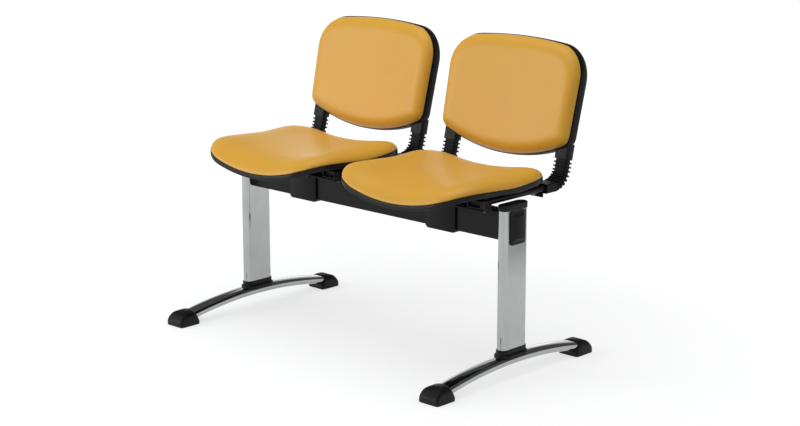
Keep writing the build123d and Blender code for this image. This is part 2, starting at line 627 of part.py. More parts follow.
# ---------------------------------------------------------------- corrugated boots
def place_on_tube(run):
    """Plane square to the tube's centre line, `run` along it below the socket's mouth."""
    if run <= UPRIGHT_RUN:
        centre = BACK.from_local_coords((0, SOCKET_BOTTOM - run, SOCKET_LINE))
        return Plane(origin=centre, x_dir=(1, 0, 0), z_dir=(0, -sin(LEAN), -cos(LEAN)))
    turn = LEAN + (run - UPRIGHT_RUN) / TUBE_BEND
    centre = (
        0, BEND_START + TUBE_BEND * cos(turn), TUBE_HEIGHT + TUBE_BEND * (1 - sin(turn)))
    return Plane(origin=centre, x_dir=(1, 0, 0), z_dir=(0, -sin(turn), -cos(turn)))


ring_runs = [RING_FIRST + i * STRAIGHT_PITCH for i in range(STRAIGHT_RINGS)]
bend_step = TUBE_BEND * radians(BEND_PITCH)
ring_runs += [ring_runs[-1] + (i + 1) * bend_step for i in range(BEND_RINGS)]
core_depth = TUBE_DEPTH + 2 * FIT + 2 * BOOT_WALL
core_width = TUBE_WIDTH + 2 * FIT + 2 * BOOT_WALL
cuff_front = REAR_FLANGE + CARRIER_THICK + CUFF_GAP
with BuildPart() as boot:
    with BuildLine() as boot_path:
        Line((0, cuff_front, TUBE_HEIGHT), (0, BEND_START, TUBE_HEIGHT))
        TangentArc((0, BEND_START, TUBE_HEIGHT), (0, BEND_END_Y, BEND_END_Z), tangent=(0, 1, 0))
        Line((0, BEND_END_Y, BEND_END_Z), tuple(upright_foot))
    cuff_plane = Plane(origin=(0, cuff_front, TUBE_HEIGHT), x_dir=(1, 0, 0), z_dir=(0, 1, 0))
    with BuildSketch(cuff_plane):
        Rectangle(core_width, core_depth)
        chamfer(vertices(), BOOT_WALL)
    sweep(path=boot_path.wire())
    for run in ring_runs:
        with BuildSketch(place_on_tube(run)):
            Rectangle(RING_WIDTH, RING_DEPTH)
            chamfer(vertices(), RING_CORNER)
        extrude(amount=RING_THICK / 2, both=True)
    with BuildSketch(Plane.XZ.offset(-cuff_front)):
        with Locations((0, TUBE_HEIGHT - CUFF_DROP)):
            Rectangle(RING_WIDTH, CUFF_HEIGHT)
        chamfer(vertices(), RING_CORNER)
    extrude(amount=-(BEND_START - cuff_front))
    with BuildSketch(cuff_plane):
        Rectangle(TUBE_WIDTH + 2 * FIT, TUBE_DEPTH + 2 * FIT)
    sweep(path=boot_path.wire(), mode=Mode.SUBTRACT)

for seat_x, seat in zip(BOTH_SEATS, ("left", "right")):
    for side, hand in ((-1, "left"), (1, "right")):
        save(back_tube.part, f"{seat}_seat_tube_{hand}", seat_x + side * TUBE_X)
        save(boot.part, f"{seat}_seat_boot_{hand}", seat_x + side * TUBE_X)
    left_x = seat_x - TUBE_X
    right_x = seat_x + TUBE_X
    save(
        Pos(left_x, 0, 0) * end_cap.part + Pos(right_x, 0, 0) * end_cap.part,
        f"{seat}_seat_tube_end_caps")
    save(
        Pos(left_x, 0, 0) * tube_pad.part + Pos(right_x, 0, 0) * tube_pad.part,
        f"{seat}_seat_tube_pads")


# ---------------------------------------------------------------- seat
def seat_dish(y):
    """Height of the cushion's lower edge on the middle line, and its rise at the sides."""
    forward = max(0.0, SEAT_MIDDLE - y) / (SEAT_MIDDLE - SEAT_FRONT)
    rearward = max(0.0, y - SEAT_MIDDLE) / (SEAT_REAR - SEAT_MIDDLE)
    middle = SEAT_EDGE - SEAT_FALL * (y - SEAT_MIDDLE) - SEAT_FRONT_DROP * forward ** 2
    return middle, SIDE_RISE + FRONT_RISE * forward ** 1.5 + REAR_RISE * rearward ** 1.5


SEAT_STATIONS = [SEAT_FRONT - 12, -180, -140, -100, -60, 0, 60, 120, SEAT_REAR + 12]
SLAB_HALF = SEAT_FRONT_HALF + 10


def build_seat_slab(low, high, crown=0.0, taper=0.0):
    """Dished slab between two heights above the cushion's lower edge.

    The upper surface falls by `crown` towards the sides and by `taper` to the front and rear.
    """
    with BuildPart() as slab:
        for y in SEAT_STATIONS:
            middle, rise = seat_dish(y)
            side = rise * (SLAB_HALF / SEAT_HALF) ** 2
            span = SEAT_REAR - SEAT_MIDDLE if y > SEAT_MIDDLE else SEAT_MIDDLE - SEAT_FRONT
            floor_side = middle + side + low
            top = middle + high - taper * ((y - SEAT_MIDDLE) / span) ** 2
            top_side = top + side - crown * (SLAB_HALF / SEAT_HALF) ** 2
            with BuildSketch(Plane.XZ.offset(-y)):
                with BuildLine():
                    ThreePointArc((-SLAB_HALF, floor_side), (0, middle + low), (SLAB_HALF, floor_side))
                    Line((SLAB_HALF, floor_side), (SLAB_HALF, top_side))
                    ThreePointArc((SLAB_HALF, top_side), (0, top), (-SLAB_HALF, top_side))
                    Line((-SLAB_HALF, top_side), (-SLAB_HALF, floor_side))
                make_face()
        loft()
    return slab.part


def build_seat_prism(inset):
    """The seat's plan outline as a tall prism, drawn in from the cushion's edge."""
    with BuildPart() as prism:
        with BuildSketch(Plane.XY.offset(BEAM_TOP)):
            corner_y = SEAT_FRONT + SEAT_FRONT_SAG
            with BuildLine():
                ThreePointArc(
                    (-SEAT_FRONT_HALF, corner_y), (0, SEAT_FRONT), (SEAT_FRONT_HALF, corner_y))
                Polyline(
                    (SEAT_FRONT_HALF, corner_y), (SEAT_REAR_HALF, SEAT_REAR),
                    (-SEAT_REAR_HALF, SEAT_REAR), (-SEAT_FRONT_HALF, corner_y))
            make_face()
            fillet(vertices().group_by(Axis.Y)[0], SEAT_FRONT_CORNER)
            fillet(vertices().group_by(Axis.Y)[-1], SEAT_REAR_CORNER)
            if inset:
                offset(amount=-inset, mode=Mode.REPLACE)
        extrude(amount=150)
    return prism.part


def seat_height(x, y):
    """Height of the cushion's lower edge surface at a place on the seat."""
    middle, rise = seat_dish(y)
    side = rise * (SLAB_HALF / SEAT_HALF) ** 2
    radius = (SLAB_HALF ** 2 + side ** 2) / (2 * side)
    return middle + radius - sqrt(radius ** 2 - x ** 2)


board_bottom = BOARD_GAP - BOARD_THICK
with BuildPart() as cushion:
    add(build_seat_slab(0, CUSHION_THICK, CUSHION_CROWN, CUSHION_TAPER))
    add(build_seat_prism(0), mode=Mode.INTERSECT)
    top_face = cushion.faces().sort_by(SortBy.AREA)[-2:].sort_by(Axis.Z)[-1]
    fillet(top_face.edges(), CUSHION_ROUND)
    pocket = build_seat_slab(-1, BOARD_GAP + FIT) & build_seat_prism(BOARD_INSET - FIT)
    add(pocket, mode=Mode.SUBTRACT)
save_pair(cushion.part, "seat_cushion", SEAT_PITCH / 2)

with BuildPart() as board:
    add(build_seat_slab(board_bottom, BOARD_GAP))
    add(build_seat_prism(BOARD_INSET), mode=Mode.INTERSECT)
    with BuildSketch(Plane.XY.offset(SEAT_EDGE - 20)):
        with Locations(*SEAT_SCREWS):
            Circle(INSERT_DIAMETER / 2 + 0.1)
    extrude(amount=60, mode=Mode.SUBTRACT)
save_pair(board.part, "seat_board", SEAT_PITCH / 2)

boss_limit = build_seat_slab(-60, -PAN_FLOOR + PAN_WALL / 2) & build_seat_prism(PAN_INSET)
with BuildPart() as bosses:
    with BuildSketch(Plane.XY.offset(TUBE_UPPER)):
        with Locations(*SEAT_SCREWS):
            Circle(BOSS_DIAMETER / 2)
    extrude(amount=60)
    add(boss_limit, mode=Mode.INTERSECT)

with BuildPart() as pan:
    add(build_seat_slab(-PAN_RIM, -FIT))
    add(build_seat_prism(PAN_INSET), mode=Mode.INTERSECT)
    add(build_seat_prism(PAN_INSET + PAN_WALL), mode=Mode.SUBTRACT)
    floor_slab = build_seat_slab(-PAN_FLOOR, -PAN_FLOOR + PAN_WALL)
    add(floor_slab & build_seat_prism(PAN_INSET + PAN_WALL / 2))
    add(bosses.part)
    with BuildSketch(Plane.XY.offset(TUBE_UPPER)):
        with Locations(*SEAT_SCREWS):
            Circle(SEAT_SCREW / 2 + FIT)
    extrude(amount=60, mode=Mode.SUBTRACT)
save_pair(pan.part, "seat_pan", SEAT_PITCH / 2)

insert_places = [
    (x, y, seat_height(x, y) + BOARD_GAP - BOARD_THICK / 2 - INSERT_HEIGHT / 2)
    for x, y in SEAT_SCREWS]
with BuildPart() as seat_screws:
    for seat_x in BOTH_SEATS:
        for x, y, z in insert_places:
            head_face = STRIP_BOTTOM if y < 0 else TUBE_LOWER
            with BuildSketch(Plane.XY.offset(head_face)):
                with Locations((seat_x + x, y)):
                    Circle(SEAT_SCREW_HEAD / 2)
            extrude(amount=-SEAT_SCREW_HEAD_HEIGHT)
            with BuildSketch(Plane.XY.offset(head_face)):
                with Locations((seat_x + x, y)):
                    Circle(SEAT_SCREW / 2)
            extrude(amount=z + INSERT_HEIGHT - head_face)
save(seat_screws.part, "seat_screws")

with BuildPart() as seat_inserts:
    for seat_x in BOTH_SEATS:
        for x, y, z in insert_places:
            with BuildSketch(Plane.XY.offset(z)):
                with Locations((seat_x + x, y)):
                    Circle(INSERT_DIAMETER / 2)
                    Circle(SEAT_SCREW / 2 + 0.1, mode=Mode.SUBTRACT)
            extrude(amount=INSERT_HEIGHT)
save(seat_inserts.part, "seat_board_inserts")


# ---------------------------------------------------------------- back
def hollow(u):
    """How far the back's curved parting surface stands forward at a distance from its middle."""
    return BACK_HOLLOW * (u / BACK_SHOULDER_HALF) ** 2


def build_back_slab(low, high):
    """Curved slab between two depths measured forward from the pad's rear face."""
    edge = BACK_SHOULDER_HALF + 10
    with BuildPart() as slab:
        with BuildSketch(ACROSS):
            with BuildLine():
                ThreePointArc((-edge, hollow(edge) + low), (0, low), (edge, hollow(edge) + low))
                Line((edge, hollow(edge) + low), (edge, hollow(edge) + high))
                ThreePointArc((edge, hollow(edge) + high), (0, high), (-edge, hollow(edge) + high))
                Line((-edge, hollow(edge) + high), (-edge, hollow(edge) + low))
            make_face()
        extrude(amount=200, both=True)
    return slab.part


def build_back_prism(inset):
    """The back's outline as a prism along its depth, drawn in from the edge."""
    with BuildPart() as prism:
        with BuildSketch(BACK):
            with BuildLine():
                ThreePointArc(
                    (-BACK_SHOULDER_HALF, BACK_SHOULDER), (0, BACK_TOP),
                    (BACK_SHOULDER_HALF, BACK_SHOULDER))
                Line((BACK_SHOULDER_HALF, BACK_SHOULDER), (BACK_HIP_HALF, BACK_HIP))
                ThreePointArc(
                    (BACK_HIP_HALF, BACK_HIP), (0, BACK_BOTTOM), (-BACK_HIP_HALF, BACK_HIP))
                Line((-BACK_HIP_HALF, BACK_HIP), (-BACK_SHOULDER_HALF, BACK_SHOULDER))
            make_face()
            fillet(vertices().group_by(Axis.Y)[-1], BACK_TOP_CORNER)
            fillet(vertices().group_by(Axis.Y)[0], BACK_BOTTOM_CORNER)
            if inset:
                offset(amount=-inset, mode=Mode.REPLACE)
        extrude(amount=90, both=True)
    return prism.part


forward_axis = Axis((0, BACK_Y, BACK_Z), (0, -cos(LEAN), sin(LEAN)))
pad_edge = BACK_SHOULDER_HALF + 10
with BuildPart() as back_pad:
    for v in (-180, -90, 0, 90, 180):
        front = BACK_PAD_THICK - BACK_PAD_TAPER * (v / BACK_TOP) ** 2
        side = front + hollow(pad_edge) - BACK_PAD_CROWN * (pad_edge / BACK_SHOULDER_HALF) ** 2
        with BuildSketch(ACROSS.offset(-v)):
            with BuildLine():
                ThreePointArc((-pad_edge, hollow(pad_edge)), (0, 0), (pad_edge, hollow(pad_edge)))
                Line((pad_edge, hollow(pad_edge)), (pad_edge, side))
                ThreePointArc((pad_edge, side), (0, front), (-pad_edge, side))
                Line((-pad_edge, side), (-pad_edge, hollow(pad_edge)))
            make_face()
    loft()
    add(build_back_prism(0), mode=Mode.INTERSECT)
    front_face = back_pad.faces().sort_by(SortBy.AREA)[-2:].sort_by(forward_axis)[-1]
    fillet(front_face.edges(), BACK_PAD_ROUND)
save_pair(back_pad.part, "back_pad", SEAT_PITCH / 2)

SHELL_SCREWS = [
    (side * SHELL_SCREW_X, v) for side in (-1, 1) for v in (SHELL_SCREW_TOP, SHELL_SCREW_BOTTOM)]
back_board_rear = -FIT - BACK_BOARD_THICK
with BuildPart() as back_board:
    add(build_back_slab(back_board_rear, -FIT))
    add(build_back_prism(BACK_BOARD_INSET), mode=Mode.INTERSECT)
    with BuildSketch(BACK.offset(-SHELL_DEPTH)):
        with Locations(*SHELL_SCREWS):
            Circle(SHELL_SCREW / 2 + 0.1)
    extrude(amount=SHELL_DEPTH + hollow(SHELL_SCREW_X) - 2, mode=Mode.SUBTRACT)
    notch = SOCKET_WIDTH / 2 + BOARD_NOTCH
    with BuildSketch(BACK.offset(-SHELL_DEPTH)):
        for side in (-1, 1):
            with Locations((side * (TUBE_X - notch), SOCKET_TOP + BOARD_NOTCH)):
                Rectangle(
                    4 * notch, -BACK_BOTTOM, align=(Align.MIN if side > 0 else Align.MAX, Align.MAX))
    extrude(amount=2 * SHELL_DEPTH, mode=Mode.SUBTRACT)
save_pair(back_board.part, "back_board", SEAT_PITCH / 2)

head_seat = hollow(SHELL_SCREW_X) + back_board_rear - SHELL_POST_LAND
with BuildPart() as shell:
    add(build_back_slab(-SHELL_DEPTH, -FIT))
    add(build_back_prism(0), mode=Mode.INTERSECT)
    rear_face = shell.faces().sort_by(SortBy.AREA)[-2:].sort_by(forward_axis)[0]
    fillet(rear_face.edges(), SHELL_ROUND)
shell_body = shell.part

with BuildPart() as cavity:
    add(build_back_slab(-SHELL_DEPTH + SHELL_WALL, 0))
    add(build_back_prism(SHELL_WALL), mode=Mode.INTERSECT)
    inner_face = cavity.faces().sort_by(SortBy.AREA)[-2:].sort_by(forward_axis)[0]
    fillet(inner_face.edges(), SHELL_ROUND - SHELL_WALL)

with BuildPart() as sockets:
    for side in (-1, 1):
        mouth = Plane(
            origin=BACK.from_local_coords((side * TUBE_X, SOCKET_BOTTOM, SOCKET_LINE)),
            x_dir=(1, 0, 0), z_dir=(0, sin(LEAN), cos(LEAN)))
        with BuildSketch(mouth):
            RectangleRounded(SOCKET_WIDTH, SOCKET_DEPTH, SOCKET_CORNER)
        extrude(amount=SOCKET_TOP - SOCKET_BOTTOM)

with BuildPart() as posts:
    with BuildSketch(BACK.offset(-SHELL_DEPTH)):
        with Locations(*SHELL_SCREWS):
            Circle(SHELL_POST / 2)
    extrude(amount=SHELL_DEPTH + BACK_HOLLOW)
    add(build_back_slab(-SHELL_DEPTH + SHELL_WALL / 2, back_board_rear - FIT / 2),
        mode=Mode.INTERSECT)

with BuildPart() as lower_zone:
    with BuildSketch(ACROSS.offset(-SOCKET_LEDGE)):
        Rectangle(2 * BACK_SHOULDER_HALF, 4 * SHELL_DEPTH)
    extrude(amount=SOCKET_LEDGE - SOCKET_BOTTOM)

with BuildPart() as back_shell:
    add(shell_body)
    add(cavity.part, mode=Mode.SUBTRACT)
    add(sockets.part & lower_zone.part)
    add(sockets.part & shell_body)
    add(posts.part)
    add(build_back_slab(-FIT, 60) & build_back_prism(-2), mode=Mode.SUBTRACT)
    for side in (-1, 1):
        add(Pos(side * TUBE_X, 0, 0) * tube_bore, mode=Mode.SUBTRACT)
    with BuildSketch(BACK.offset(-2 * SHELL_DEPTH)):
        with Locations(*SHELL_SCREWS):
            Circle(SHELL_SCREW_HEAD / 2 + FIT)
    extrude(amount=2 * SHELL_DEPTH + head_seat, mode=Mode.SUBTRACT)
    with BuildSketch(BACK.offset(-SHELL_DEPTH)):
        with Locations(*SHELL_SCREWS):
            Circle(SHELL_SCREW / 2 + FIT)
    extrude(amount=SHELL_DEPTH, mode=Mode.SUBTRACT)
    with BuildSketch(BACK.offset(SOCKET_LINE)):
        with Locations((-TUBE_X, socket_screw_v), (TUBE_X, socket_screw_v)):
            Circle(SHELL_SCREW / 2 + FIT)
    extrude(amount=-SHELL_DEPTH, mode=Mode.SUBTRACT)
save_pair(back_shell.part, "back_shell", SEAT_PITCH / 2)

all_shell_screws = [(x + u, v) for x in BOTH_SEATS for u, v in SHELL_SCREWS]
with BuildPart() as board_screws:
    with BuildSketch(BACK.offset(head_seat)):
        with Locations(*all_shell_screws):
            Circle(SHELL_SCREW_HEAD / 2)
    extrude(amount=-SHELL_SCREW_HEAD_HEIGHT)
    with BuildSketch(BACK.offset(head_seat)):
        with Locations(*all_shell_screws):
            Circle(SHELL_SCREW / 2)
    extrude(amount=SHELL_POST_LAND + BACK_BOARD_THICK - 2.5)
save(board_screws.part, "back_board_screws")

socket_rear = SOCKET_LINE - SOCKET_DEPTH / 2
socket_screw_places = [
    (x + side * TUBE_X, socket_screw_v) for x in BOTH_SEATS for side in (-1, 1)]
with BuildPart() as socket_screws:
    with BuildSketch(BACK.offset(socket_rear)):
        with Locations(*socket_screw_places):
            Circle(SHELL_SCREW_HEAD / 2)
    extrude(amount=-SHELL_SCREW_HEAD_HEIGHT)
    with BuildSketch(BACK.offset(socket_rear)):
        with Locations(*socket_screw_places):
            Circle(SHELL_SCREW / 2)
    extrude(amount=(SOCKET_DEPTH - TUBE_DEPTH) / 2 + TUBE_WALL + 2)
save(socket_screws.part, "socket_screws")
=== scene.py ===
from math import cos, pi, radians, sin, sqrt, tan

import bmesh
import bpy
from mathutils import Matrix, Vector


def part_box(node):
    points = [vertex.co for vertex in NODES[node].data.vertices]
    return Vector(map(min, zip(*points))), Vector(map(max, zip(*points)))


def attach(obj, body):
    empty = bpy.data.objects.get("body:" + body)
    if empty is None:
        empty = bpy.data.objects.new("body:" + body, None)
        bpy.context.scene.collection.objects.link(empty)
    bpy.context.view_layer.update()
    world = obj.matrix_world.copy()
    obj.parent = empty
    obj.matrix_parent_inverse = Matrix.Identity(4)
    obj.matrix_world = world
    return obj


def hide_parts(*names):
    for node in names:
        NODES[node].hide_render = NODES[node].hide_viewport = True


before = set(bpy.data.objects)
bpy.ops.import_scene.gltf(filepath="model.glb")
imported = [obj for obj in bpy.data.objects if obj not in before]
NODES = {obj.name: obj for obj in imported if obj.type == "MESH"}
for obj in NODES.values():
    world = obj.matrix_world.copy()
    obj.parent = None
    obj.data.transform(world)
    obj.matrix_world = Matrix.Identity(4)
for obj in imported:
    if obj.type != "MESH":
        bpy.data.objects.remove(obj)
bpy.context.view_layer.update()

# ------------------------------------------------------------------ beam
# The beam is a rectangular steel tube with rolled corners, cut square, with a tapped plate in
# each end. It is powder coated black, a satin finish with the faint orange peel that a baked
# powder leaves.
MM = 0.001
BEAM_HEIGHT = 74 * MM
BEAM_DEPTH = 40 * MM
BEAM_WALL = 2 * MM
BEAM_CORNER = 5 * MM
PAINT_BLACK = "#121314"
PAINT_WORN = "#1A1B1B"
PAINT_PATCH = 90 * MM
PAINT_ROUGH = (0.34, 0.48)
PAINT_PEEL = 4 * MM         # the real peel is 1 to 2 mm; drawn coarser so that it shows
PAINT_RELIEF = 0.25 * MM
CREASE = 34                 # degrees from which an edge is left crisp


def linear(hex_colour):
    """An sRGB hex colour as the linear RGBA that a shader socket takes."""
    parts = [int(hex_colour[i:i + 2], 16) / 255 for i in (1, 3, 5)]
    return [p / 12.92 if p <= 0.04045 else ((p + 0.055) / 1.055) ** 2.4 for p in parts] + [1.0]


def feed(tree, node, feeds):
    """Set a node's inputs, or link them to a socket or to another node's first output."""
    for key, value in feeds.items():
        if isinstance(value, bpy.types.Node):
            value = value.outputs[0]
        if isinstance(value, bpy.types.NodeSocket):
            tree.links.new(value, node.inputs[key])
        else:
            node.inputs[key].default_value = value


def add_node(tree, kind, feeds=None, stops=(), **settings):
    """Add a node with its properties, inputs and, on a colour ramp, its stops."""
    node = tree.nodes.new(kind)
    for key, value in settings.items():
        setattr(node, key, value)
    feed(tree, node, feeds or {})
    for i, (spot, colour) in enumerate(stops):
        node.color_ramp.elements[i].position = spot
        node.color_ramp.elements[i].color = linear(colour)
    return node


def start_material(name, **finish):
    """A material with its shader's plain values set; returns it, its tree, shader and place."""
    material = bpy.data.materials.new(name)
    material.use_nodes = True
    tree = material.node_tree
    shader = tree.nodes["Principled BSDF"]
    feed(tree, shader, {key.replace("_", " "): value for key, value in finish.items()})
    place = add_node(tree, "ShaderNodeTexCoord").outputs["Object"]
    return material, tree, shader, place


def vary(tree, shader, place, dark, light, patch, rough, grain, depth):
    """Cloud two colours over patches, and vary the gloss and raise the face over a grain."""
    clouds = add_node(
        tree, "ShaderNodeTexNoise",
        {"Vector": place, "Scale": 1 / patch, "Detail": 4.0, "Roughness": 0.6})
    colours = add_node(
        tree, "ShaderNodeValToRGB", {"Fac": clouds}, stops=((0.3, dark), (0.7, light)))
    speckle = add_node(
        tree, "ShaderNodeTexNoise",
        {"Vector": place, "Scale": 1 / grain, "Detail": 3.0, "Roughness": 0.55})
    gloss = add_node(
        tree, "ShaderNodeMapRange",
        {"Value": speckle, "From Min": 0.3, "From Max": 0.7, "To Min": rough[0],
         "To Max": rough[1]})
    relief = add_node(
        tree, "ShaderNodeBump", {"Height": speckle, "Strength": 0.35, "Distance": depth})
    feed(tree, shader, {"Base Color": colours, "Roughness": gloss, "Normal": relief})
    return relief


powder_coat, *nodes = start_material("powder_coated_steel", IOR=1.5, Specular_IOR_Level=0.13)
vary(*nodes, PAINT_BLACK, PAINT_WORN, PAINT_PATCH, PAINT_ROUGH, PAINT_PEEL, PAINT_RELIEF)


def rounded_rectangle(width, height, corner, steps=8):
    """Points round a rectangle with rounded corners, as pairs, anticlockwise."""
    corner = min(corner, width / 2, height / 2)
    points = []
    for i, (side, up) in enumerate(((1, 1), (-1, 1), (-1, -1), (1, -1))):
        for k in range(steps + 1):
            turn = (i + k / steps) * pi / 2
            points.append((
                side * (width / 2 - corner) + corner * cos(turn),
                up * (height / 2 - corner) + corner * sin(turn)))
    return points


def new_object(name, data):
    """An object for a mesh, curve, lamp or camera, linked to the scene."""
    item = bpy.data.objects.new(name, data)
    bpy.context.scene.collection.objects.link(item)
    return item


def make_object(name, shape, sharp=CREASE):
    """Turn a bmesh into an object at the origin, smooth but for edges over an angle."""
    mesh = bpy.data.meshes.new(name)
    shape.to_mesh(mesh)
    shape.free()
    mesh.shade_smooth()
    mesh.set_sharp_from_angle(angle=radians(sharp))
    return new_object(name, mesh)


def join_rings(shape, rings, looped=False):
    """Add rings of points to a bmesh, joined by faces, with ends closed unless looped."""
    rows = [[shape.verts.new(point) for point in ring] for ring in rings]
    for near, far in zip(rows, rows[1:] + rows[:1] if looped else rows[1:]):
        for j in range(len(near)):
            k = (j + 1) % len(near)
            shape.faces.new((near[j], near[k], far[k], far[j]))
    if not looped:
        shape.faces.new(rows[0][::-1])
        shape.faces.new(rows[-1])
    bmesh.ops.remove_doubles(shape, verts=shape.verts, dist=1e-6)
    bmesh.ops.recalc_face_normals(shape, faces=shape.faces)
    return shape


def skin(name, rings, looped=False, sharp=CREASE):
    """Skin rings of points into one closed mesh object."""
    return make_object(name, join_rings(bmesh.new(), rings, looped), sharp)


def tube(name, node, axis, width, height, wall, corner, steps=8):
    """A square-cut tube as long as its node, with a rounded section square to an axis."""
    low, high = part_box(node)
    across, up = (i for i in range(3) if i != axis)
    rings = []
    for shrink, ends in ((0, (low, high)), (wall, (high, low))):
        for end in ends:
            ring = []
            for a, b in rounded_rectangle(
                    width - 2 * shrink, height - 2 * shrink, corner - shrink, steps):
                point = (low + high) / 2
                point[axis] = end[axis]
                point[across] += a
                point[up] += b
                ring.append(point)
            rings.append(ring)
    return skin(name, rings, looped=True)


def dress(piece, material, node):
    """Give a finished piece its material, hang it on the root body and hide the node it stands
    for.
    """
    piece.data.materials.clear()
    piece.data.materials.append(material)
    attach(piece, "root")
    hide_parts(node)


dress(tube("beam", "beam_tube", 0, BEAM_DEPTH, BEAM_HEIGHT, BEAM_WALL, BEAM_CORNER),
      powder_coat, "beam_tube")

# ------------------------------------------------------------------ zinc plated fixings
# Bolts, nuts, screws, tapped inserts and the plates inside the ends are mild steel with a thin
# passivated zinc plate: a grey, slightly blue metal, satin, with cloudy patches. The carriers'
# bolts and nuts have a black passivation.
ZINC_GREY = "#7D8285"
ZINC_DULL = "#64696C"
ZINC_CLOUD = 12 * MM
ZINC_ROUGH = (0.3, 0.45)
ZINC_BLACK = "#1B1C1D"
ZINC_BLACK_DULL = "#131414"
ZINC_BLACK_ROUGH = (0.35, 0.5)
ZINC_GRAIN = 3 * MM
ZINC_RELIEF = 0.05 * MM
FLAT = 1                    # degrees up to which faces are made one
ROUNDED_CREASE = 50         # as CREASE, on a piece with rounded edges
MERGE = 0.02 * MM           # closer points of a solid's mesh are made one
SLIVER = 0.01 * MM          # the same after rounding or cutting

zinc_plate, *nodes = start_material("zinc_plated_steel", Metallic=1.0)
vary(*nodes, ZINC_DULL, ZINC_GREY, ZINC_CLOUD, ZINC_ROUGH, ZINC_GRAIN, ZINC_RELIEF)
black_zinc, *nodes = start_material("black_zinc_plated_steel", Metallic=0.7)
vary(*nodes, ZINC_BLACK_DULL, ZINC_BLACK, ZINC_CLOUD, ZINC_BLACK_ROUGH, ZINC_GRAIN,
     ZINC_RELIEF)


def hands(*kinds):
    """The left and right node of each kind."""
    return [f"{kind}_{hand}" for kind in kinds for hand in ("left", "right")]


def open_mesh(mesh, merge=0.0):
    """A bmesh of a mesh, with points that lie closer than `merge` made one."""
    shape = bmesh.new()
    shape.from_mesh(mesh)
    if merge:
        bmesh.ops.remove_doubles(shape, verts=shape.verts, dist=merge)
    return shape


def plain_mesh(piece):
    """A piece and its modifiers as one plain mesh."""
    graph = bpy.context.evaluated_depsgraph_get()
    return bpy.data.meshes.new_from_object(piece.evaluated_get(graph))


def reopened(piece, merge=0.0):
    """A bmesh of a piece and its modifiers; the piece itself is removed."""
    shape = open_mesh(plain_mesh(piece), merge)
    bpy.data.objects.remove(piece)
    return shape


def softened(node, name, edge):
    """A merged copy of a node with its sharp edges rounded by `edge`."""
    shape = open_mesh(NODES[node].data, MERGE)
    if not edge:
        return make_object(name, shape)
    bmesh.ops.dissolve_limit(
        shape, angle_limit=radians(FLAT), verts=shape.verts, edges=shape.edges)
    piece = make_object(name, shape)
    rounding = piece.modifiers.new("edge", "BEVEL")
    rounding.width = edge
    rounding.segments = 2
    rounding.limit_method = "ANGLE"
    rounding.angle_limit = radians(CREASE)
    shape = reopened(piece, SLIVER)
    bmesh.ops.dissolve_degenerate(shape, dist=SLIVER, edges=shape.edges)
    return make_object(name, shape, ROUNDED_CREASE)


for nodes, edge, plate in (
        (hands("beam_end_plate", "beam_bolts", "column_insert", "foot_bolts"), 0.4, zinc_plate),
        (["seat_screws"], 0.6, zinc_plate), (["seat_board_inserts"], 0.3, zinc_plate),
        (["carrier_bolts", "carrier_nuts"], 0.4, black_zinc)):
    for node in nodes:
        dress(softened(node, f"{node}_plated", edge * MM), plate, node)

# ------------------------------------------------------------------ columns
# Each column is a flat-sided oval steel tube, polished and chrome plated. The plate is a true
# mirror with the slight waviness of polished tube and very fine lengthwise polishing lines.
COLUMN_DEPTH = 92 * MM
COLUMN_WIDTH = 30 * MM
COLUMN_WALL = 2 * MM
CHROME = "#AFB0B0"
CHROME_HAZE = "#A7A8A8"
POLISH_WAVE = 70 * MM
POLISH_LINE = 3 * MM        # real polishing lines are under 0.1 mm; drawn coarser to show
POLISH_STRETCH = 0.04       # lines are drawn out along the column by the inverse of this
POLISH_ROUGH = (0.02, 0.06)

chrome_plate, tree, shader, place = start_material("polished_chrome_plate", Metallic=1.0)
stretch = add_node(
    tree, "ShaderNodeMapping", {"Vector": place, "Scale": (1.0, 1.0, POLISH_STRETCH)})
clouds = add_node(
    tree, "ShaderNodeTexNoise", {"Vector": place, "Scale": 1 / POLISH_WAVE, "Detail": 2.0})
lines = add_node(
    tree, "ShaderNodeTexNoise", {"Vector": stretch, "Scale": 1 / POLISH_LINE, "Detail": 2.0})
tint = add_node(
    tree, "ShaderNodeValToRGB", {"Fac": clouds}, stops=((0.3, CHROME_HAZE), (0.7, CHROME)))
gloss = add_node(
    tree, "ShaderNodeMapRange",
    {"Value": lines, "From Min": 0.3, "From Max": 0.7, "To Min": POLISH_ROUGH[0],
     "To Max": POLISH_ROUGH[1]})
wave = add_node(
    tree, "ShaderNodeBump", {"Height": clouds, "Strength": 0.06, "Distance": 1 * MM})
feed(tree, shader, {"Base Color": tint, "Roughness": gloss, "Normal": wave})
for node in hands("column"):
    dress(tube(f"chrome_{node}", node, 2, COLUMN_WIDTH, COLUMN_DEPTH, COLUMN_WALL,
               COLUMN_WIDTH, 20), chrome_plate, node)

# ------------------------------------------------------------------ feet
# Each foot is a wide oval steel tube, squarer than an ellipse, rolled to one long arc. It is
# chromed like the column and bolted up through its crown into the column.
NOSE_TO_LEG = 306 * MM      # front foot cap's nose to the line of the columns
LEG_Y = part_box("front_foot_cap_right")[0].y + NOSE_TO_LEG
FOOT_WIDTH = 50 * MM
FOOT_HEIGHT = 24 * MM
FOOT_CROWN = 46.8 * MM      # centre line at the crown of the arch
FOOT_RADIUS = 1305 * MM
FOOT_FRONT = -282 * MM      # tube ends, from the line of the columns
FOOT_REAR = 270 * MM
FOOT_STATIONS = 56
FOOT_OVAL = 2.5             # 2 is an ellipse, more is squarer
FOOT_POINTS = 64


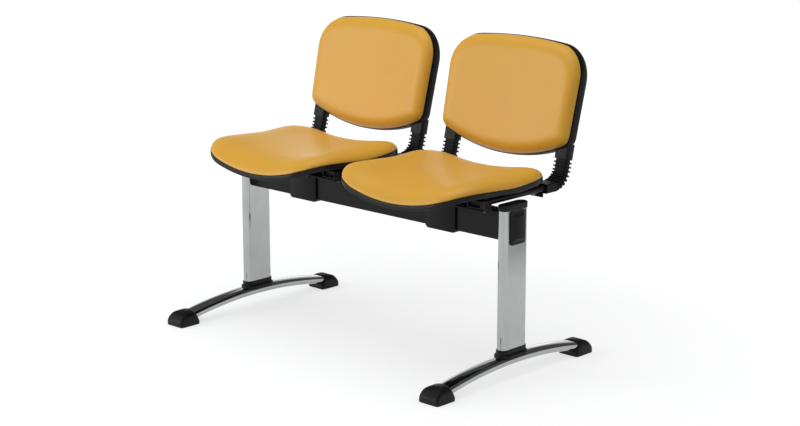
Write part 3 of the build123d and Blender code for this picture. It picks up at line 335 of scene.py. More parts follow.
def foot_rings(low, high, room=0.0):
    """Rings along a foot's arch, midway across a box, grown by `room` all round."""
    section = []
    for k in range(FOOT_POINTS):
        turn = 2 * pi * k / FOOT_POINTS
        section.append(tuple(
            (half + room) * (1 if swing >= 0 else -1) * abs(swing) ** (2 / FOOT_OVAL)
            for half, swing in ((FOOT_WIDTH / 2, cos(turn)), (FOOT_HEIGHT / 2, sin(turn)))))
    rings = []
    for i in range(FOOT_STATIONS + 1):
        along = FOOT_FRONT - room + (FOOT_REAR - FOOT_FRONT + 2 * room) * i / FOOT_STATIONS
        lean = along / FOOT_RADIUS
        rings.append([
            Vector((
                (low.x + high.x) / 2 + a, LEG_Y + (FOOT_RADIUS + b) * sin(lean),
                FOOT_CROWN - FOOT_RADIUS + (FOOT_RADIUS + b) * cos(lean)))
            for a, b in section])
    return rings


for node in hands("foot_tube"):
    dress(skin(node.replace("foot_tube", "chrome_foot"), foot_rings(*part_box(node))),
          chrome_plate, node)

# ------------------------------------------------------------------ black mouldings of the legs
# Foot caps, collars, column caps and the covers over the beam bolts are injection moulded
# polypropylene: near black, with a fine spark-eroded grain that breaks up the highlights, and
# edges rounded by the mould.
PLASTIC_BLACK = "#0D0E0E"
PLASTIC_GREY = "#151616"
PLASTIC_PATCH = 60 * MM
PLASTIC_ROUGH = (0.36, 0.55)
PLASTIC_GRAIN = 3.5 * MM    # the real grain is 0.3 mm; drawn coarser so that it shows
PLASTIC_RELIEF = 0.3 * MM

moulded_plastic, *nodes = start_material(
    "moulded_polypropylene", IOR=1.49, Specular_IOR_Level=0.2)
vary(*nodes, PLASTIC_BLACK, PLASTIC_GREY, PLASTIC_PATCH, PLASTIC_ROUGH, PLASTIC_GRAIN,
     PLASTIC_RELIEF)
for kind, edge in (("column_cap", 0.6), ("bolt_cover", 0.5)):
    for node in hands(kind):
        dress(softened(node, f"moulded_{node}", edge * MM), moulded_plastic,
              node)

# A foot cap is an arch on upright sides, with a crown that rises from a slanted nose and an
# inner face that leans back. It is drawn as level rings and pocketed for the foot.
CAP_CROWN = 39.5 * MM
CAP_NOSE = 13 * MM          # height of the upright nose
CAP_BROW = 31 * MM          # height where the slanted nose turns into the crown
CAP_BROW_BACK = 13 * MM
CAP_CREST_BACK = 33 * MM    # from the nose to the crown's highest place
CAP_HEEL = 9 * MM           # height of the upright part of the inner face
CAP_LEAN = 14 * MM
CAP_SIDE = 17 * MM          # height of the upright sides
CAP_DRAFT = 1 * MM
CAP_CORNER = 7 * MM
CAP_ARCH = 2.4              # 2 is an ellipse, more is squarer
CAP_NOSE_BOW = 1.2          # 1 is a straight slant, more bows it
CAP_CROWN_BOW = 1.4
CAP_CREST_HALF = 2.5 * MM
CAP_ROOM = 0.2 * MM         # between foot and pocket
CAP_FOOT = 1 * MM           # the edge on the floor is drawn in by this
CAP_LEVELS = 26
FINE_CREASE = 40            # as CREASE, on a finely ringed piece


def cap_ring(low, high, end, rise, inset):
    """A foot cap's outline at a height; `end` is -1 at the front and 1 at the rear."""
    slant = max(0.0, min(1.0, (rise - CAP_NOSE) / (CAP_BROW - CAP_NOSE)))
    crowned = max(0.0, (rise - CAP_BROW) / (CAP_CROWN - CAP_BROW))
    nose_back = CAP_BROW_BACK * slant ** CAP_NOSE_BOW
    nose_back += (CAP_CREST_BACK - CAP_BROW_BACK) * crowned ** CAP_CROWN_BOW
    heel_back = CAP_LEAN * max(0.0, (rise - CAP_HEEL) / (CAP_CROWN - CAP_HEEL))
    arch = min(1.0, max(0.0, (rise - CAP_SIDE) / (CAP_CROWN - CAP_SIDE)))
    half = (high.x - low.x) / 2 - CAP_DRAFT * min(1.0, rise / CAP_SIDE)
    half = max(CAP_CREST_HALF, half * (1 - arch ** CAP_ARCH) ** (1 / CAP_ARCH)) - inset
    front = low.y + inset + (nose_back if end < 0 else heel_back)
    rear = high.y - inset - (heel_back if end < 0 else nose_back)
    return [
        Vector(((low.x + high.x) / 2 + a, (front + rear) / 2 + b, rise))
        for a, b in rounded_rectangle(2 * half, rear - front, CAP_CORNER)]


def carved(piece, drill, merge=0.0):
    """A bmesh of a piece with a drill's shape cut out; piece and drill are removed."""
    cut = piece.modifiers.new("cut", "BOOLEAN")
    cut.operation = "DIFFERENCE"
    cut.solver = "EXACT"
    cut.object = drill
    shape = reopened(piece, merge)
    bpy.data.objects.remove(drill)
    return shape


for kind, end in (("front", -1), ("rear", 1)):
    for node in hands(f"{kind}_foot_cap"):
        low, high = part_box(node)
        cap = skin(f"cap_{node}", [
            cap_ring(low, high, end, CAP_CROWN * sin(k / CAP_LEVELS * pi / 2),
                     0.0 if k else CAP_FOOT) for k in range(CAP_LEVELS + 1)])
        shape = carved(cap, skin("foot_drill", foot_rings(low, high, CAP_ROOM)), SLIVER)
        dress(make_object(f"moulded_{node}", shape, FINE_CREASE), moulded_plastic,
              node)

# The collar is a flange with a rounded lip over the foot, and a cove up to a rim that hugs the
# column. Each ring is drawn in by two distances, across and along, at a height.
COLLAR_RINGS = (
    (0, 0, 51.5), (0, 0, 60.5), (0.4, 0.3, 61.6), (1.3, 0.9, 62.3), (3.2, 1.8, 62.9),
    (5.0, 2.6, 63.8), (6.2, 3.2, 65.5), (6.8, 3.4, 68.0), (6.8, 3.4, 73.6), (7.2, 3.7, 74.6),
    (8.0, 4.3, 75.0))
for node in hands("column_collar"):
    low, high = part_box(node)
    middle = (low + high) / 2
    size = high - low
    rings = [
        [Vector((middle.x + a, middle.y + b, rise * MM)) for a, b in rounded_rectangle(
            size.x - 2 * across * MM, size.y - 2 * along * MM, size.x, 16)]
        for across, along, rise in COLLAR_RINGS]
    dress(skin(f"moulded_{node}", rings), moulded_plastic, node)

# ------------------------------------------------------------------ saddles and seat carriers
# A folded steel saddle is clamped over the beam below each seat, and a pressed steel carrier is
# bolted to it. Both have the beam's black powder coat, with edges left soft by the coating.
COATED_EDGE = 0.8 * MM
for hand in ("left", "right"):
    for node in (f"beam_saddle_{hand}", f"seat_carrier_{hand}"):
        dress(softened(node, "coated_" + node.split("_", 1)[1], COATED_EDGE), powder_coat,
              node)

# ------------------------------------------------------------------ seat tubes
# Two oval steel tubes run back under each seat, bend up and enter the back. They are powder
# coated, rest on moulded spacers and end in moulded plugs with open mouths.
for seat in ("left", "right"):
    for node in hands(f"{seat}_seat_tube"):
        dress(softened(node, f"coated_{node}", 0), powder_coat, node)
    for kind in ("end_caps", "pads"):
        node = f"{seat}_seat_tube_{kind}"
        dress(softened(node, f"moulded_{node}", 0.6 * MM), moulded_plastic,
              node)

# ------------------------------------------------------------------ corrugated boots
# Each bend is covered by a soft black moulded boot: a thin sleeve on the oval tube with square
# ribs at an even pitch, and a plain cuff where it comes out from under the seat.
BOOT_BLACK = "#0E0F0F"
BOOT_DUSTY = "#161717"
BOOT_PATCH = 25 * MM
BOOT_ROUGH = (0.4, 0.6)
BOOT_GRAIN = 3 * MM         # coarser than real rubber's, so that it shows
BOOT_RELIEF = 0.2 * MM
RIB_WIDTH = 45 * MM
RIB_DEPTH = 26 * MM
RIB_THICK = 4.4 * MM
RIB_CORNER = 5 * MM
RIB_EDGE = 1.2 * MM
RIB_REACH = 6 * MM          # how far a rib runs in from its rim
RIB_COUNT = 8
RIB_FIRST = 8.5 * MM        # first rib below the back's socket
RIB_PITCH = 10.1 * MM
SLEEVE_WIDTH = 34.4 * MM
SLEEVE_DEPTH = 18.4 * MM
SLEEVE_CORNER = 2.5 * MM
CUFF_FRONT = 139 * MM       # front of the cuff, behind the carrier's rear flange
CUFF_HEIGHT = 24 * MM
CUFF_DROP = 1 * MM          # middle of the cuff below the tube's centre line
BACK_LEAN = radians(13.3)
TUBE_BEND = 45 * MM
TUBE_HEIGHT = 452.5 * MM
SOCKET_MOUTH = Vector((0, 229.76 * MM, 511.74 * MM))
TUBE_SPREAD = 377 * MM      # between a seat's two tubes
SEAT_PITCH = 500 * MM
SEATS = (("left", -SEAT_PITCH / 2), ("right", SEAT_PITCH / 2))
WHOLE_LINE = 10.0           # metres, longer than any line
BEND_STEPS = 16

boot_rubber, *nodes = start_material("soft_moulded_rubber", IOR=1.5, Specular_IOR_Level=0.14)
vary(*nodes, BOOT_BLACK, BOOT_DUSTY, BOOT_PATCH, BOOT_ROUGH, BOOT_GRAIN, BOOT_RELIEF)


def open_group(name, output, inputs):
    """A geometry node tree with one output; returns it and its named inputs' sockets."""
    group = bpy.data.node_groups.new(name, "GeometryNodeTree")
    for kind, labels in inputs.items():
        for label in labels:
            group.interface.new_socket(label, in_out="INPUT", socket_type=f"NodeSocket{kind}")
    group.interface.new_socket(output, in_out="OUTPUT", socket_type="NodeSocketGeometry")
    return group, add_node(group, "NodeGroupInput").outputs


def boot_tree():
    """Geometry nodes that grow a ribbed sleeve along a curve, from its upper end."""
    group, given = open_group("ribbed_boot", "Boot", {
        "Geometry": ["Line"],
        "Float": [
            "Rib width", "Rib depth", "Rib thickness", "Rib corner", "Rib reach", "First rib",
            "Last rib", "Sleeve width", "Sleeve depth", "Cuff start", "Cuff height",
            "Cuff drop"],
        "Int": ["Ribs"], "Material": ["Rubber"]})

    def rounded_loop(width, height, corner, count):
        """A closed rectangle with rounded corners."""
        loop = add_node(
            group, "GeometryNodeCurvePrimitiveQuadrilateral",
            {"Width": width, "Height": height})
        return add_node(
            group, "GeometryNodeFilletCurve",
            {"Curve": loop, "Radius": corner, "Count": count}, mode="POLY")

    line = add_node(
        group, "GeometryNodeSetCurveNormal", {"Curve": given["Line"]}, mode="Z_UP")
    rim_path, rim_rise = (
        add_node(
            group, "ShaderNodeMath", {0: given[size], 1: given["Rib reach"]},
            operation="SUBTRACT") for size in ("Rib width", "Rib depth"))
    rib = add_node(
        group, "GeometryNodeCurveToMesh",
        {"Curve": rounded_loop(rim_path, rim_rise, given["Rib corner"], 5),
         "Profile Curve": rounded_loop(given["Rib reach"], given["Rib thickness"], RIB_EDGE, 2)})
    rib = add_node(
        group, "GeometryNodeSetShadeSmooth", {"Geometry": rib, "Shade Smooth": True})
    # A trimmed curve's inputs 4 and 5 are its start and end as lengths.
    ribbed = add_node(
        group, "GeometryNodeTrimCurve",
        {"Curve": line, 4: given["First rib"], 5: given["Last rib"]}, mode="LENGTH")
    spots = add_node(
        group, "GeometryNodeCurveToPoints", {"Curve": ribbed, "Count": given["Ribs"]},
        mode="COUNT")
    ribs = add_node(
        group, "GeometryNodeInstanceOnPoints",
        {"Points": spots, "Instance": rib, "Rotation": spots.outputs["Rotation"]})
    section = rounded_loop(given["Sleeve width"], given["Sleeve depth"], SLEEVE_CORNER, 4)
    sleeve = add_node(
        group, "GeometryNodeCurveToMesh",
        {"Curve": line, "Profile Curve": section, "Fill Caps": True})
    cuff_line = add_node(
        group, "GeometryNodeTrimCurve", {"Curve": line, 4: given["Cuff start"], 5: WHOLE_LINE},
        mode="LENGTH")
    down = add_node(
        group, "ShaderNodeMath", {0: given["Cuff drop"], 1: -1.0}, operation="MULTIPLY")
    offset = add_node(group, "ShaderNodeCombineXYZ", {"Z": down})
    cuff_line = add_node(
        group, "GeometryNodeSetPosition", {"Geometry": cuff_line, "Offset": offset})
    section = rounded_loop(given["Rib width"], given["Cuff height"], given["Rib corner"], 5)
    cuff = add_node(
        group, "GeometryNodeCurveToMesh",
        {"Curve": cuff_line, "Profile Curve": section, "Fill Caps": True})
    whole = add_node(group, "GeometryNodeJoinGeometry")
    for part in (ribs, sleeve, cuff):
        feed(group, whole, {"Geometry": part})
    real = add_node(group, "GeometryNodeRealizeInstances", {"Geometry": whole})
    coated = add_node(
        group, "GeometryNodeSetMaterial", {"Geometry": real, "Material": given["Rubber"]})
    add_node(group, "NodeGroupOutput", {"Boot": coated})
    return group


def grow(piece, group, values):
    """Run a geometry node tree on a piece with named inputs and keep the plain mesh."""
    modifier = piece.modifiers.new(group.name, "NODES")
    modifier.node_group = group
    sockets = {
        item.name: item.identifier for item in group.interface.items_tree
        if item.item_type == "SOCKET" and item.in_out == "INPUT"}
    for name, value in values.items():
        modifier[sockets[name]] = value
    name = piece.name
    shape = reopened(piece)
    bmesh.ops.recalc_face_normals(shape, faces=shape.faces)
    return make_object(name, shape, FINE_CREASE)


def boot_line(x):
    """Points down the tube's centre line from the socket, round the bend, to the cuff's front."""
    up = Vector((0, sin(BACK_LEAN), cos(BACK_LEAN)))
    meet = SOCKET_MOUTH - up * ((SOCKET_MOUTH.z - TUBE_HEIGHT) / cos(BACK_LEAN))
    tangent = TUBE_BEND * tan((pi / 2 - BACK_LEAN) / 2)
    bend_centre = Vector((0, meet.y - tangent, TUBE_HEIGHT + TUBE_BEND))
    points = [SOCKET_MOUTH, meet + up * tangent]
    for i in range(1, BEND_STEPS + 1):
        turn = BACK_LEAN + (pi / 2 - BACK_LEAN) * i / BEND_STEPS
        points.append(bend_centre + TUBE_BEND * Vector((0, cos(turn), -sin(turn))))
    cuff_length = points[-1].y - CUFF_FRONT
    points.append(points[-1] - Vector((0, cuff_length, 0)))
    return [p + Vector((x, LEG_Y, 0)) for p in points], cuff_length


ribbed_boot = boot_tree()
for seat, seat_x in SEATS:
    for hand, side in (("left", -1), ("right", 1)):
        points, cuff_length = boot_line(seat_x + side * TUBE_SPREAD / 2)
        length = sum((b - a).length for a, b in zip(points, points[1:]))
        curve = bpy.data.curves.new(f"{seat}_boot_{hand}", "CURVE")
        curve.dimensions = "3D"
        spline = curve.splines.new("POLY")
        spline.points.add(len(points) - 1)
        for spot, point in zip(spline.points, points):
            spot.co = (*point, 1.0)
        boot = grow(new_object(f"{seat}_boot_{hand}", curve), ribbed_boot, {
            "Rib width": RIB_WIDTH, "Rib depth": RIB_DEPTH, "Rib thickness": RIB_THICK,
            "Rib corner": RIB_CORNER - RIB_REACH / 4, "Rib reach": RIB_REACH,
            "First rib": RIB_FIRST,
            "Last rib": RIB_FIRST + RIB_PITCH * (RIB_COUNT - 1),
            "Sleeve width": SLEEVE_WIDTH, "Sleeve depth": SLEEVE_DEPTH,
            "Cuff start": length - cuff_length, "Cuff height": CUFF_HEIGHT,
            "Cuff drop": CUFF_DROP, "Ribs": RIB_COUNT, "Rubber": boot_rubber})
        dress(boot, boot_rubber, f"{seat}_seat_boot_{hand}")

# ------------------------------------------------------------------ seat pans
# The tray under each seat is a polypropylene moulding: a dished floor with a rim that follows
# the cushion's edge, rounded below, and four bosses that stand on the tubes.
SEAT_FRONT = -212 * MM      # foremost point of the seat, from the line of the columns
SEAT_REAR = 178.5 * MM
SEAT_REAR_BOW = 0.02 * MM   # all but straight
SEAT_FRONT_HALF = 225 * MM
SEAT_FRONT_CORNER_Y = -202 * MM
SEAT_REAR_HALF = 217 * MM
SEAT_FRONT_RADIUS = 92 * MM
SEAT_REAR_RADIUS = 100 * MM
SEAT_MIDDLE = 3 * MM
SEAT_EDGE = 459.5 * MM
SEAT_FRONT_DROP = 23 * MM
SEAT_FALL = 0.016
SEAT_HALF = 221 * MM
SIDE_RISE = 17.5 * MM
FRONT_RISE = 30 * MM
REAR_RISE = 21 * MM
PAN_INSET = 1.5 * MM
PAN_WALL = 3 * MM
PAN_RIM = 13 * MM
PAN_FLOOR = 8 * MM
BOSS_RADIUS = 12 * MM
TUBE_UPPER = 461 * MM       # upper side of the tubes, where the bosses stand
BOSS_FRONT_Y = -76 * MM
BOSS_REAR_Y = 112 * MM
EDGE_STEPS = 14
CORNER_STEPS = 16


def rounded_outline(top, side_top, side_bottom, bottom, top_corner, bottom_corner):
    """Points round a symmetric outline: bowed top and bottom, straight sides, round corners.

    `top` and `bottom` are the outermost heights on the middle line; the sides run between the
    two points given, where they would meet the bowed ends.
    """
    side_top = Vector(side_top)
    side_bottom = Vector(side_bottom)
    along = (side_bottom - side_top).normalized()
    inward = Vector((along.y, -along.x))
    half = []
    for apex, meet, corner, end in (
            (top, side_top, top_corner, 1), (bottom, side_bottom, bottom_corner, -1)):
        sag = abs(apex - meet.y)
        bow = (meet.x ** 2 + sag ** 2) / (2 * sag)
        centre = Vector((0, apex - end * bow))
        start = side_top + inward * corner - centre
        b = 2 * start.dot(along)
        c = start.length_squared - (bow - corner) ** 2
        root = sqrt(b * b - 4 * c)
        turn = max(
            (centre + start + along * t for t in ((-b - root) / 2, (-b + root) / 2)),
            key=lambda p: end * p.y)
        reach = (turn - centre).normalized() * bow
        arc = [reach.x * k / EDGE_STEPS for k in range(EDGE_STEPS + 1)]
        sweep = [centre + Vector((x, end * sqrt(bow ** 2 - x ** 2))) for x in arc]
        first = reach.normalized()
        last = -inward
        angle = first.angle(last)
        for k in range(1, CORNER_STEPS + 1):
            mix = k / CORNER_STEPS
            sweep.append(turn + corner * (
                first * sin((1 - mix) * angle) + last * sin(mix * angle)) / sin(angle))
        half.append(sweep)
    top_half, bottom_half = half
    side = [
        top_half[-1].lerp(bottom_half[-1], k / EDGE_STEPS) for k in range(1, EDGE_STEPS)]
    right = top_half + side + bottom_half[::-1]
    left = [Vector((-p.x, p.y)) for p in right[::-1][1:-1]]
    return right + left


def draw_in(outline, distance):
    """Move every point of an outline inwards by a distance, square to the outline."""
    moved = []
    for i, point in enumerate(outline):
        tangent = outline[(i + 1) % len(outline)] - outline[i - 1]
        tangent.normalize()
        moved.append(point + Vector((tangent.y, -tangent.x)) * distance)
    return moved


def seat_edge(x, y):
    """Height of the dished line that the cushion's lower edge follows."""
    forward = max(0.0, SEAT_MIDDLE - y) / (SEAT_MIDDLE - SEAT_FRONT)
    rearward = max(0.0, y - SEAT_MIDDLE) / (SEAT_REAR - SEAT_MIDDLE)
    middle = SEAT_EDGE - SEAT_FALL * (y - SEAT_MIDDLE) - SEAT_FRONT_DROP * forward ** 2
    rise = SIDE_RISE + FRONT_RISE * forward ** 1.5 + REAR_RISE * rearward ** 1.5
    return middle + rise * (x / SEAT_HALF) ** 2


seat_outline = rounded_outline(
    SEAT_REAR + SEAT_REAR_BOW, (SEAT_REAR_HALF, SEAT_REAR),
    (SEAT_FRONT_HALF, SEAT_FRONT_CORNER_Y), SEAT_FRONT, SEAT_REAR_RADIUS, SEAT_FRONT_RADIUS)


def seat_ring(seat_x, inset, height, spread=1.0):
    """A ring parallel to the seat's outline at a height above its dished edge line."""
    return [
        Vector((seat_x + p.x * spread, LEG_Y + p.y * spread,
                seat_edge(p.x * spread, p.y * spread) + height))
        for p in draw_in(seat_outline, inset)]


def add_rod(shape, radius, length, turned):
    """Add a closed cylinder to a bmesh, along Z and then turned and moved by a matrix."""
    bmesh.ops.create_cone(
        shape, cap_ends=True, segments=32, radius1=radius, radius2=radius, depth=length,
        matrix=turned)


for seat, seat_x in SEATS:
    inner = PAN_INSET + PAN_WALL
    floor_top = PAN_WALL - PAN_FLOOR
    rings = [seat_ring(seat_x, inner, floor_top, s) for s in (0.02, 0.25, 0.5, 0.75)]
    rings += [seat_ring(seat_x, inset, height) for inset, height in (
        (inner, floor_top), (inner, -0.5 * MM), (inner - 0.4 * MM, -0.3 * MM),
        (PAN_INSET + 0.5 * MM, -0.3 * MM), (PAN_INSET, -0.9 * MM),
        (PAN_INSET, -PAN_RIM + 2.2 * MM), (PAN_INSET + 0.6 * MM, -PAN_RIM + 0.7 * MM),
        (PAN_INSET + 1.6 * MM, -PAN_RIM), (inner, -PAN_RIM + 0.8 * MM), (inner, -PAN_FLOOR))]
    rings += [seat_ring(seat_x, inner, -PAN_FLOOR, s) for s in (0.75, 0.5, 0.25, 0.02)]
    shape = join_rings(bmesh.new(), rings)
    for x in (-TUBE_SPREAD / 2, TUBE_SPREAD / 2):
        for y in (BOSS_FRONT_Y, BOSS_REAR_Y):
            top = seat_edge(x, y) - PAN_FLOOR + PAN_WALL / 2
            add_rod(shape, BOSS_RADIUS, top - TUBE_UPPER, Matrix.Translation(
                (seat_x + x, LEG_Y + y, (top + TUBE_UPPER) / 2)))
    dress(make_object(f"moulded_pan_{seat}", shape, FINE_CREASE), moulded_plastic,
          f"seat_pan_{seat}")

# ------------------------------------------------------------------ boards
# The cushion's board and the back's board are pressed beech plywood, pale with brown plies,
# hidden by the upholstery but for their edges.
PLY_PALE = "#C9A573"
PLY_BROWN = "#A37C4B"
PLY_BAND = 30 * MM          # the real plies are 1.5 mm; drawn coarser so that they show
BAND_SCALE = 0.31           # the wave's scale for bands one metre apart

plywood, tree, shader, place = start_material("beech_plywood", Roughness=0.6, IOR=1.5)
plies = add_node(
    tree, "ShaderNodeTexWave",
    {"Vector": place, "Scale": BAND_SCALE / PLY_BAND, "Distortion": 2.0, "Detail": 2.0},
    bands_direction="Z")
tone = add_node(
    tree, "ShaderNodeValToRGB", {"Fac": plies.outputs["Fac"]},
    stops=((0.0, PLY_BROWN), (1.0, PLY_PALE)))
feed(tree, shader, {"Base Color": tone})
for node in hands("seat_board", "back_board"):
    dress(softened(node, f"ply_{node}", 0), plywood, node)

# ------------------------------------------------------------------ seat cushions
# The cushion is moulded foam on the board, covered with one piece of amber leatherette that is
# pulled over the edge and stapled below, so it has no seam, only a tight rounded edge.
AMBER = "#DAA32C"
AMBER_DEEP = "#D7A02A"
LEATHER_PATCH = 110 * MM
LEATHER_ROUGH = (0.38, 0.5)
LEATHER_GRAIN = 3.2 * MM    # the real pebble is 1 mm; drawn coarser so that it shows
LEATHER_RELIEF = 0.2 * MM
COVER_CELLS = 56            # cells of the cover across the pad
FOAM_LIMIT = 3 * MM         # how far the foam may push the cover out
CUSHION_THICK = 35.5 * MM   # foam above the board at the middle of the seat
CUSHION_ROLL = 79 * MM      # how far in from its edge the cushion reaches that thickness
PAD_OVAL = 2.2              # section of a pad's rounded edge; 2 is an ellipse
HELD = 4 * MM               # depth to which the stapled cover is held
FREEING = 8 * MM            # further depth over which it comes free
CLOTH_FRAMES = 20
NET_DRAW = 0.35             # how much closer the net's cells are near the edge

leatherette, tree, shader, place = start_material(
    "amber_leatherette", IOR=1.5, Sheen_Weight=0.08, Sheen_Roughness=0.4)
relief = vary(
    tree, shader, place, AMBER_DEEP, AMBER, LEATHER_PATCH, LEATHER_ROUGH, LEATHER_GRAIN,
    LEATHER_RELIEF)
pebble = add_node(
    tree, "ShaderNodeTexVoronoi", {"Vector": place, "Scale": 1 / LEATHER_GRAIN},
    feature="SMOOTH_F1")
pebbled = add_node(
    tree, "ShaderNodeBump",
    {"Height": pebble, "Strength": 0.12, "Distance": 0.25 * MM, "Normal": relief}, invert=True)
feed(tree, shader, {"Normal": pebbled})


def resample(outline, count):
    """The same outline as `count` points at equal steps round it."""
    loop = outline + outline[:1]
    reach = [0.0]
    for a, b in zip(loop, loop[1:]):
        reach.append(reach[-1] + (b - a).length)
    points = []
    j = 0
    for i in range(count):
        target = reach[-1] * i / count
        while reach[j + 1] < target:
            j += 1
        points.append(loop[j].lerp(loop[j + 1], (target - reach[j]) / (reach[j + 1] - reach[j])))
    return points


def padded_form(name, outline, place, thick, roll):
    """A closed pad over an outline, full height from `roll` inside its edge.

    `place` gives the point for a place on the outline's plane and a height above it. The cover
    is a square net drawn out to the outline, with closer cells near the edge.
    """
    cells = COVER_CELLS
    rim = resample(outline, 4 * cells)
    edges = list(zip(outline, outline[1:] + outline[:1]))
    shape = bmesh.new()
    net = {}
    for i in range(cells + 1):
        for j in range(cells + 1):
            a = 2 * i / cells - 1
            b = 2 * j / cells - 1
            ring = max(abs(a), abs(b))
            if ring < 1e-9:
                spot = Vector((0, 0))
            else:
                a, b = a / ring, b / ring
                sides = enumerate(((b, -a), (-a, -b), (-b, a), (a, b)))
                turn = next(n + (1 + along) / 2 for n, (reach, along) in sides if reach >= 1)
                where = (turn - 0.5) * cells % (4 * cells)
                k = int(where)
                edge_point = rim[-k % len(rim)].lerp(rim[-(k + 1) % len(rim)], where - k)
                spot = edge_point * (ring * (1 + NET_DRAW - NET_DRAW * ring ** 2))
            gap = 0.0
            if ring < 1 - 1e-9:
                gap = min(
                    (spot - p.lerp(q, max(0.0, min(1.0, (spot - p).dot(q - p)
                     / (q - p).length_squared)))).length for p, q in edges)
            height = thick * (
                1 - (1 - min(1.0, gap / roll)) ** PAD_OVAL) ** (1 / PAD_OVAL)
            net[i, j, 1] = shape.verts.new(place(spot.x, spot.y, height))
            net[i, j, 0] = net[i, j, 1]
            if ring < 1 - 1e-9:
                net[i, j, 0] = shape.verts.new(place(spot.x, spot.y, 0.0))
    for i in range(cells):
        for j in range(cells):
            for side in (0, 1):
                corners = [net[i, j, side], net[i + 1, j, side], net[i + 1, j + 1, side],
                           net[i, j + 1, side]]
                shape.faces.new(corners if side else corners[::-1])
    bmesh.ops.recalc_face_normals(shape, faces=shape.faces)
    return make_object(name, shape, 180)


def swollen(pad, depth_of):
    """Let the foam in a closed pad push its cover out and pull it taut, and smooth it.

    `depth_of` gives a point's distance in front of the face that is stapled down; the cover is
    held there and free a little way in front of it.
    """
    vertices = pad.data.vertices
    freedom = [max(0.0, min(1.0, (depth_of(v.co) - HELD) / FREEING)) for v in vertices]
    rest = [v.co.copy() for v in vertices]
    normals = [v.normal.copy() for v in vertices]
    for vertex, free, normal in zip(vertices, freedom, normals):
        vertex.co -= normal * (FOAM_LIMIT * 0.6 * free)
    held = pad.vertex_groups.new(name="held")
    for vertex, free in zip(vertices, freedom):
        held.add([vertex.index], 1 - free, "REPLACE")
    cloth = pad.modifiers.new("foam", "CLOTH")
    for key, value in (
            ("use_pressure", True), ("uniform_pressure_force", 4.0),
            ("vertex_group_mass", "held"), ("shrink_min", 0.06), ("quality", 5),
            ("tension_stiffness", 30.0), ("bending_stiffness", 4.0)):
        setattr(cloth.settings, key, value)
    cloth.settings.effector_weights.gravity = 0.0
    cloth.collision_settings.use_collision = False
    cloth.point_cache.frame_start = 1
    cloth.point_cache.frame_end = CLOTH_FRAMES
    for step in range(1, CLOTH_FRAMES + 1):
        bpy.context.scene.frame_set(step)
    pad.data = plain_mesh(pad)
    pad.modifiers.clear()
    bpy.context.scene.frame_set(1)
    pad.vertex_groups.clear()
    for vertex, start, free in zip(pad.data.vertices, rest, freedom):
        move = vertex.co - start
        if move.length > FOAM_LIMIT:
            move *= FOAM_LIMIT / move.length
        vertex.co = start + move * free
    shape = open_mesh(pad.data)
    for _ in range(2):
        bmesh.ops.smooth_vert(
            shape, verts=shape.verts, factor=0.5, use_axis_x=True, use_axis_y=True,
            use_axis_z=True)
    shape.to_mesh(pad.data)
    shape.free()
    finer = pad.modifiers.new("finer", "SUBSURF")
    finer.levels = 1
    finer.render_levels = 1
    pad.data = plain_mesh(pad)
    pad.modifiers.clear()
    pad.data.shade_smooth()
    return pad


def upholster(name, node, outline, place, thick, roll, depth_of):
    """Make and dress the left seat's pad of one kind, and its copy on the right seat."""
    left = swollen(padded_form(f"{name}_left", outline, place, thick, roll), depth_of)
    mesh = left.data.copy()
    mesh.transform(Matrix.Translation((SEAT_PITCH, 0, 0)))
    for pad, hand in ((left, "left"), (new_object(f"{name}_right", mesh), "right")):
        dress(pad, leatherette, f"{node}_{hand}")


upholster(
    "leather_cushion", "seat_cushion", seat_outline,
    lambda x, y, h: Vector((x - SEAT_PITCH / 2, LEG_Y + y, seat_edge(x, y) + h)),
    CUSHION_THICK, CUSHION_ROLL,
    lambda p: p.z - seat_edge(p.x + SEAT_PITCH / 2, p.y - LEG_Y))

# ------------------------------------------------------------------ back shells
# Each back has a one-piece polypropylene shell behind the pad: a curved tray with a rounded
# rear edge, four counterbored screw holes, and two sockets below that take the tubes.
BACK_MIDDLE = Vector((0, 253.1 * MM, 647 * MM))
BACK_TOP = 161 * MM
BACK_SHOULDER = 141.5 * MM
BACK_SHOULDER_HALF = 222.5 * MM
BACK_HIP = -100 * MM
BACK_HIP_HALF = 216 * MM
BACK_BOTTOM = -148 * MM
BACK_TOP_CORNER = 92 * MM
BACK_BOTTOM_CORNER = 32 * MM
BACK_HOLLOW = 12 * MM
SHELL_DEPTH = 30 * MM
SHELL_ROUND = 12 * MM
SHELL_WALL = 3 * MM
SHELL_SCREW_X = 120 * MM
SHELL_SCREW_TOP = 95 * MM
SHELL_SCREW_BOTTOM = -62 * MM
COUNTERBORE = 4.3 * MM
HEAD_SEAT = -11.8 * MM      # counterbore's floor, under the screw's head
SOCKET_WIDTH = 45 * MM
SOCKET_DEPTH = 26 * MM
SOCKET_CORNER = 7 * MM
SOCKET_LIP = 0.8 * MM       # bevel round the socket's mouth
SOCKET_BOTTOM = -137 * MM
SOCKET_TOP = -97 * MM
SOCKET_LINE = -8.4 * MM

UP_BACK = Vector((0, sin(BACK_LEAN), cos(BACK_LEAN)))
FORWARD = Vector((0, -cos(BACK_LEAN), sin(BACK_LEAN)))
back_outline = rounded_outline(
    BACK_TOP, (BACK_SHOULDER_HALF, BACK_SHOULDER), (BACK_HIP_HALF, BACK_HIP), BACK_BOTTOM,
    BACK_TOP_CORNER, BACK_BOTTOM_CORNER)


def on_back(seat_x, across, up, forward):
    """A place on a back, from the middle of its pad's rear face."""
    return (Vector((seat_x + across, LEG_Y, 0)) + BACK_MIDDLE + UP_BACK * up
            + FORWARD * forward)


def hollow(across):
    """How far the back's curved rear face stands forward at a distance from its middle."""
    return BACK_HOLLOW * (across / BACK_SHOULDER_HALF) ** 2


def back_ring(seat_x, inset, forward, spread=1.0):
    """A ring parallel to the back's outline at a depth from its curved parting face."""
    return [
        on_back(seat_x, p.x * spread, p.y * spread, hollow(p.x * spread) + forward)
        for p in draw_in(back_outline, inset)]


